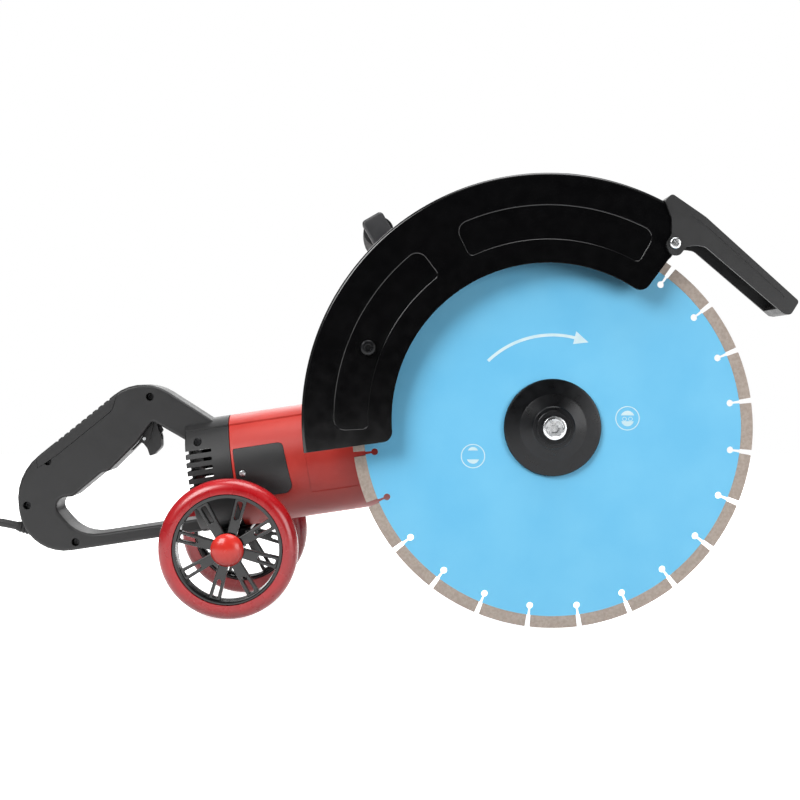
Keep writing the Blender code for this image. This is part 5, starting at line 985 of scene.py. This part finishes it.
# %% Screws and rings in the handle's holes
screws, rims = [], []
for along, up in HANDLE_SCREWS:
    for side in (-1, 1):
        face = 120 + side * (47.5 if along > -330 else 20)
        floor_at = face - side * (11 if along > -330 else 8.8)
        head = [(0, floor_at), (3.5, floor_at), (3.5, floor_at + side * 2), (3.0, floor_at + side * 2.6),
                (0, floor_at + side * 2.6)]
        place = (along * mm, 0, up * mm)
        screw = lathe("screw", [(r * mm, y * mm) for r, y in head], place, steps=28, matrix=TOOL)
        span = sorted((floor_at + side * 1.2, floor_at + side * 4))
        carve(screw, *cross_slot("cut", Vector((along, up)) * mm, 1.9 * mm, 0.4 * mm, span[0] * mm,
                                 span[1] * mm, TOOL, along))
        screws.append(screw)
finish(joined("handle_screws", screws), black_oxide, "saw_body", "black_oxide")

# %% Ribbed grip inlay
inlay = slab("grip_inlay_soft", handle_shape, 100 * mm, 140 * mm, TOOL, near_edge=4.6 * mm, far_edge=4.6 * mm,
             steps=5)
SMALLER = ((-392, 110, 0), (-475.7, 61, 0), (-475.7, 28.3, 0), (-455, 38.36, 10), (-398.3, 71.86, 10),
           (-388.3, 92, 0))
carve(inlay, slab("keep", rounded(SMALLER), 99 * mm, 141 * mm, TOOL), operation="INTERSECT")
direction = spoke(210.3, 1)
outward = Vector((direction.y, -direction.x)) * 0.5 * mm
for count in range(10):
    spot = Vector((-398, 84.1)) * mm + direction * (6.9 * mm * (count + 0.4)) + outward
    carve(inlay, peg("cut", 1.8 * mm, 98 * mm, 142 * mm, (spot.x, 0, spot.y), steps=20, matrix=TOOL))
soften(inlay, 0.5 * mm, 2, 50)
finish(inlay, elastomer, "saw_body", "soft_black", "grip_inlay")

# %% [markdown]
# ## Trigger and lock-off lever
# The trigger turns on a steel pin in the grip. The small lever in its middle has to be
# pressed first. Both are outlines extruded to their width, with every edge softened.

# %% Trigger
TRIGGER = ((-358.5, 66.5, 3), (-364, 66.5, 3), (-380, 48.5, 2), (-381, 37.5, 1.5), (-376, 37.5, 4),
           (-372.2, 31, 6), (-371, 23.8, 1), (-367.5, 24, 4), (-359, 30, 6), (-357.8, 40, 4), (-359.4, 52, 3))
LEVER_ROOM = ((-377.6, 45.5, 1), (-377.6, 35, 0), (-370.2, 35, 0), (-350, 39.5, 0), (-350, 55, 0),
              (-366, 55, 1))
LEVER = ((-375.8, 41, 2), (-374.5, 37.6, 2), (-371.5, 38, 1), (-357.5, 43.6, 1), (-355.6, 46, 1),
         (-357.4, 51, 1.5), (-361, 50.5, 1), (-372, 43.8, 1))
trigger = slab("trigger_blade", rounded(TRIGGER), 112 * mm, 128 * mm, TOOL)
carve(trigger, slab("cut", rounded(LEVER_ROOM), 117.2 * mm, 122.8 * mm, TOOL),
      peg("cut", 2.1 * mm, 110 * mm, 130 * mm, (-361 * mm, 0, 62.5 * mm), steps=24, matrix=TOOL))
finish(soften(trigger, 0.9 * mm, 3, 50), nylon_black, "trigger", "black_shell", "trigger")
lever = slab("lock_lever", rounded(LEVER), 117.5 * mm, 122.5 * mm, TOOL)
finish(soften(lever, 0.6 * mm, 3, 50), nylon_grey, "lock_off_lever", "grey_moulding", "lock_off_lever")
pivot = lathe("trigger_side_pins", [(0, 110.9 * mm), (1.6 * mm, 110.9 * mm), (1.9 * mm, 111.2 * mm),
                                    (1.9 * mm, 111.9 * mm), (0, 111.9 * mm)], (-373.6 * mm, 0, 40.5 * mm),
              steps=24, matrix=TOOL)
finish(pivot, zinc_plate, "trigger", "bright_steel")

# %% [markdown]
# ## Front loop handle
# Two arms bolted to the gear case and joined by a bar with a soft grip, over the motor.

# %% Arms and bar
FOOT = (-62.4 * mm, 0, 0)
TOP = (-123.5 * mm, 0, 198.5 * mm)


def rod(radius, start, end, centre=(0, 0, 0), **more):
    """A cylinder along Y in the tool frame, its radius and ends in millimetres."""
    return peg("rod", radius * mm, start * mm, end * mm, centre, matrix=TOOL, **more)


def arm_outline():
    foot, knee, top = Vector((-62.4, 0)), Vector((-62, 42)), Vector((-123.5, 198.5))
    half = 21.5 / 2
    lean_to = (top - knee).normalized()
    aside = Vector((lean_to.y, -lean_to.x)) * half
    rise = (knee - foot).normalized()
    rise = Vector((rise.y, -rise.x)) * half
    end = top + lean_to * 14
    points = (foot + rise, knee + (rise + aside) / 2, end + aside, end - aside, knee - (rise + aside) / 2,
              foot - rise)
    return rounded([(p.x, p.y, r) for p, r in zip(points, (0, 20, 4, 4, 20, 0))])


loop = slab("front_loop", arm_outline(), 47.6 * mm, 63.6 * mm, TOOL, near_edge=2.5 * mm, far_edge=1.5 * mm)
far_arm = slab("arm", arm_outline(), 176.4 * mm, 192.4 * mm, TOOL, near_edge=1.5 * mm, far_edge=2.5 * mm)
carve(loop, rod(9, 60, 180, TOP), far_arm, rod(11.2, 47.7, 63.6, FOOT), rod(11.2, 176.4, 192.3, FOOT),
      operation="UNION")
carve(loop, rod(4.3, 40, 200, FOOT), rod(7.5, 40, 52.6, FOOT), rod(7.5, 187.4, 200, FOOT),
      rod(2.2, 40, 52, (-114 * mm, 0, 208.1 * mm)))
finish(soften(loop, 0.5 * mm, 2, 55), nylon_grey, "saw_body", "grey_moulding", "loop_handle")

# %% Soft grip and bolts
profile = [(9.3, 64.6), (13.6, 64.6), (14, 65.2)]
for rib in range(17):
    start = 68 + rib * 6.2
    swell = 14 + 0.9 * math.sin(math.pi * (start - 64.6) / 110.8)
    profile += [(swell, start), (swell - 0.9, start + 0.8), (swell - 0.9, start + 1.8), (swell, start + 2.6)]
profile += [(14, 174.8), (13.6, 175.4), (9.3, 175.4)]
grip = lathe("loop_soft_grip", [(r * mm, y * mm) for r, y in profile], TOP, steps=48, matrix=TOOL)
finish(grip, elastomer, "saw_body", "soft_black", "loop_grip")
for label, side, seat in (("near", -1, 52.9), ("far", 1, 187.1)):
    tip = seat - side * 21
    head = [(0, tip), (4, tip), (4, seat), (6.8, seat), (6.8, seat + side * 3.4), (6.3, seat + side * 4),
            (0, seat + side * 4)]
    head = [(r * mm, y * mm) for r, y in head]
    fixing = lathe(f"loop_bolt_head_{label}", head, FOOT, steps=40, matrix=TOOL)
    span = sorted((seat + side * 1, seat + side * 6))
    carve(fixing, slab("cut", hexagon(3 * mm, (FOOT[0], 0)), span[0] * mm, span[1] * mm, TOOL))
    finish(fixing, zinc_plate, "saw_body", "bright_steel", f"loop_bolt_{label}")

# %% [markdown]
# ## Gear case
# Die-cast aluminium: a drum round the crown gear, a neck to the motor, a boss for the loop
# handle's bolts, and a bearing carrier that the guard is clamped on.

# %% Case
LOCK_PLACE = (27 * mm, 0, 0)
drum = [(0, 42.5), (50, 42.5), (50, 145), (48.6, 149.4), (45, 151.6), (40, 152), (22, 152), (21, 151),
        (19, 151), (18, 152), (0, 152)]
case = lathe("gear_drum", [(r * mm, y * mm) for r, y in drum], steps=96, matrix=TOOL)
carve(case, along_x("neck", peg, (52.2,), -73.7, -12), rod(11.2, 63.9, 176.1, FOOT), operation="UNION")
carve(case, rod(44, 30, 140, steps=96), rod(11.3, 134, 146), along_x("cut", peg, (45.5,), -80, 0),
      rod(4.3, 130, 160, LOCK_PLACE), rod(8.3, 150.5, 160, LOCK_PLACE), rod(4.3, 60, 75.6, FOOT),
      rod(4.3, 164.4, 180, FOOT))
finish(soften(case, 0.6 * mm, 3, 50), cast_alloy, "saw_body", "cast_alloy", "gear_case")
carrier = [(11.5, 20), (29.4, 20), (30, 20.6), (30, 36.2), (49, 36.2), (50, 37), (50, 42.2), (43.7, 42.2),
           (43.7, 55), (23.65, 55), (23.65, 39.7), (11.5, 39.7)]
carrier = lathe("bearing_carrier", [(r * mm, y * mm) for r, y in carrier], steps=96, matrix=TOOL)
finish(carrier, cast_alloy, "saw_body", "cast_alloy", "spindle_carrier")
shield = [(14.15, -83), (20, -83), (20, -80), (51.8, -80), (52.2, -79.6), (52.2, -74.4), (51.8, -74),
          (20, -74), (20, -70), (9, -70), (9, -71.8), (14.15, -71.8)]
shield = lathe("motor_shield", [(r * mm, x * mm) for r, x in shield], MOTOR_AXIS, "X", 96, TOOL)
finish(shield, cast_alloy, "saw_body", "cast_alloy", "bearing_shield")
button = [(0, 126), (3, 126), (4, 127), (4, 156.3), (7.4, 156.3), (8, 156.9), (8, 160.3), (6.5, 161.8),
          (4.8, 162), (4.4, 161.4), (0, 161.2)]
button = lathe("lock_button", [(r * mm, y * mm) for r, y in button], LOCK_PLACE, steps=48, matrix=TOOL)
finish(button, nylon_black, "spindle_lock", "black_shell", "spindle_lock_button")

# %% [markdown]
# ## Carriage wheels
# A cast red tread on a polished black centre. One pair of spokes is modelled, with the slot
# between them, and copied eight times round the hub. The red cap hides the axle's end.

# %% Wheel parts
WHEEL_X = -287.7 * mm
WHEEL_UP = -111.5 * mm
SPOKES = 8
FIRST_SPOKE = 75
TREAD = ((50.2, -11), (54.2, -11), (56.6, -10.6), (59.4, -9.2), (61.4, -7.4), (62.7, -5.2), (63.35, -2.8),
         (63.5, 0), (63.35, 2.8), (62.7, 5.2), (61.4, 7.4), (59.4, 9.2), (56.6, 10.6), (54.2, 11), (50.2, 11))
RIM_SHAPE = ((46.6, -9.6), (47.2, -10), (49.4, -10), (49.9, -9.6), (49.9, 9.6), (49.4, 10), (47.2, 10),
             (46.6, 9.6), (46.4, 4), (46.4, -4))


def spoke_pair(outward):
    """Two spokes with the slot between them, pointing along +X, before they are turned."""
    middle = outward * 3
    low, high = (middle - 4) * mm, (middle + 4) * mm
    shape = rounded(((12, -4.4, 0), (46.8, -5.6, 0), (46.8, 5.6, 0), (12, 4.4, 0)))
    pair = slab("spokes", shape, low, high, Matrix.Identity(4))
    slot = rounded(((28, -2.0, 2), (44.4, -2.4, 1.4), (44.4, 2.4, 1.4), (28, 2.0, 2)))
    carve(pair, slab("cut", slot, -20 * mm, 20 * mm, Matrix.Identity(4)))
    return soften(pair, 0.9 * mm, 3, 50)


def make_wheel(label, depth, outward):
    centre = (WHEEL_X, depth * mm, WHEEL_UP)
    body = f"wheel_{label}"
    tread = lathe(f"tread_{label}", [(r * mm, y * mm) for r, y in TREAD], centre, steps=144)
    finish(tread, urethane_red, body, "red_tyre", f"tyre_{label}", degrees=50)
    hub = [(5.1, -11), (12.6, -11), (14, -9.6), (14, 9.6), (12.6, 11), (5.1, 11)]
    parts = [lathe("rim", [(r * mm, y * mm) for r, y in RIM_SHAPE], centre, steps=144),
             lathe("hub", [(r * mm, y * mm) for r, y in hub], centre, steps=48)]
    hub_at = GROUND @ Matrix.Translation(centre)
    turns = [hub_at @ Matrix.Rotation(-math.radians(FIRST_SPOKE + 360 / SPOKES * count), 4, "Y")
             for count in range(SPOKES)]
    parts += copies(spoke_pair(outward), turns)
    finish(joined(f"wheel_centre_{label}", parts), gloss_nylon_black, body, "wheel_rim", f"rim_{label}")
    start = outward * 11.3
    cap = [(0, 7), (3, 6.85), (6, 6.35), (9, 5.4), (11.5, 4.1), (13.4, 2.6), (14.6, 1.2), (15, 0.3),
           (15, 0), (0, 0)]
    cap = lathe(f"cap_{label}", [(r * mm, (start + outward * y) * mm) for r, y in cap], centre, steps=64)
    finish(cap, gloss_red, body, "cap_red", f"hub_cap_{label}", degrees=50)


make_wheel("near", 44, -1)
make_wheel("far", 196, 1)

# %% Axle and its bracket
axle = lathe("wheel_axle", [(0, 33 * mm), (4.4 * mm, 33 * mm), (5 * mm, 33.6 * mm), (5 * mm, 206.4 * mm),
                            (4.4 * mm, 207 * mm), (0, 207 * mm)], (WHEEL_X, 0, WHEEL_UP), steps=40)
finish(axle, zinc_plate, "saw_body", "bright_steel", "axle")
seat = Matrix.Rotation(math.radians(TOOL_PITCH), 4, "Y") @ Vector((WHEEL_X, 0, WHEEL_UP)) / mm
ceiling = -DROP - BARREL - 0.3
bracket = box("axle_fork", (seat.x - 17, seat.x + 17), (96, 144), (ceiling - 3, ceiling))
ear = rounded(((seat.x - 12, ceiling - 1, 0), (seat.x - 12, seat.z - 9, 9), (seat.x + 12, seat.z - 9, 9),
               (seat.x + 12, ceiling - 1, 0)))
carve(bracket, slab("ear", ear, 96 * mm, 99 * mm, TOOL), slab("ear", ear, 141 * mm, 144 * mm, TOOL),
      operation="UNION")
carve(bracket, peg("cut", 5.1 * mm, 90 * mm, 150 * mm, (seat.x * mm, 0, seat.z * mm), matrix=TOOL))
finish(soften(bracket, 0.6 * mm, 3, 50), black_oxide, "saw_body", "black_oxide", "axle_bracket")

# %% [markdown]
# ## What is left of the CAD
# The parts inside the housings keep their CAD shapes, which are right, and get the material
# that each is made of.

# %% Materials for the carried-over nodes
SLOT_MATERIALS = {"guard_paint": powder_black, "blade_enamel": lacquer_blue, "black_oxide": black_oxide,
                  "bright_steel": zinc_plate, "red_shell": nylon_red, "red_tyre": urethane_red,
                  "wheel_rim": gloss_nylon_black, "cap_red": gloss_red, "black_shell": nylon_black,
                  "grey_moulding": nylon_grey, "soft_black": elastomer, "cast_alloy": cast_alloy,
                  "laminations": lamination, "copper": copper_wire, "carbon": carbon_block}
for entry in frame["record"]["subparts"]:
    node = nodes[entry["node"]]
    node.data.materials.clear()
    node.data.materials.append(SLOT_MATERIALS[entry["material_slot"]])

# %% Print the sizes of the CAD and of the finished pieces
visual_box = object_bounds()
for label, box in (("CAD", cad_box), ("visual", visual_box)):
    print(label, [[round(value, 4) for value in corner] for corner in box])
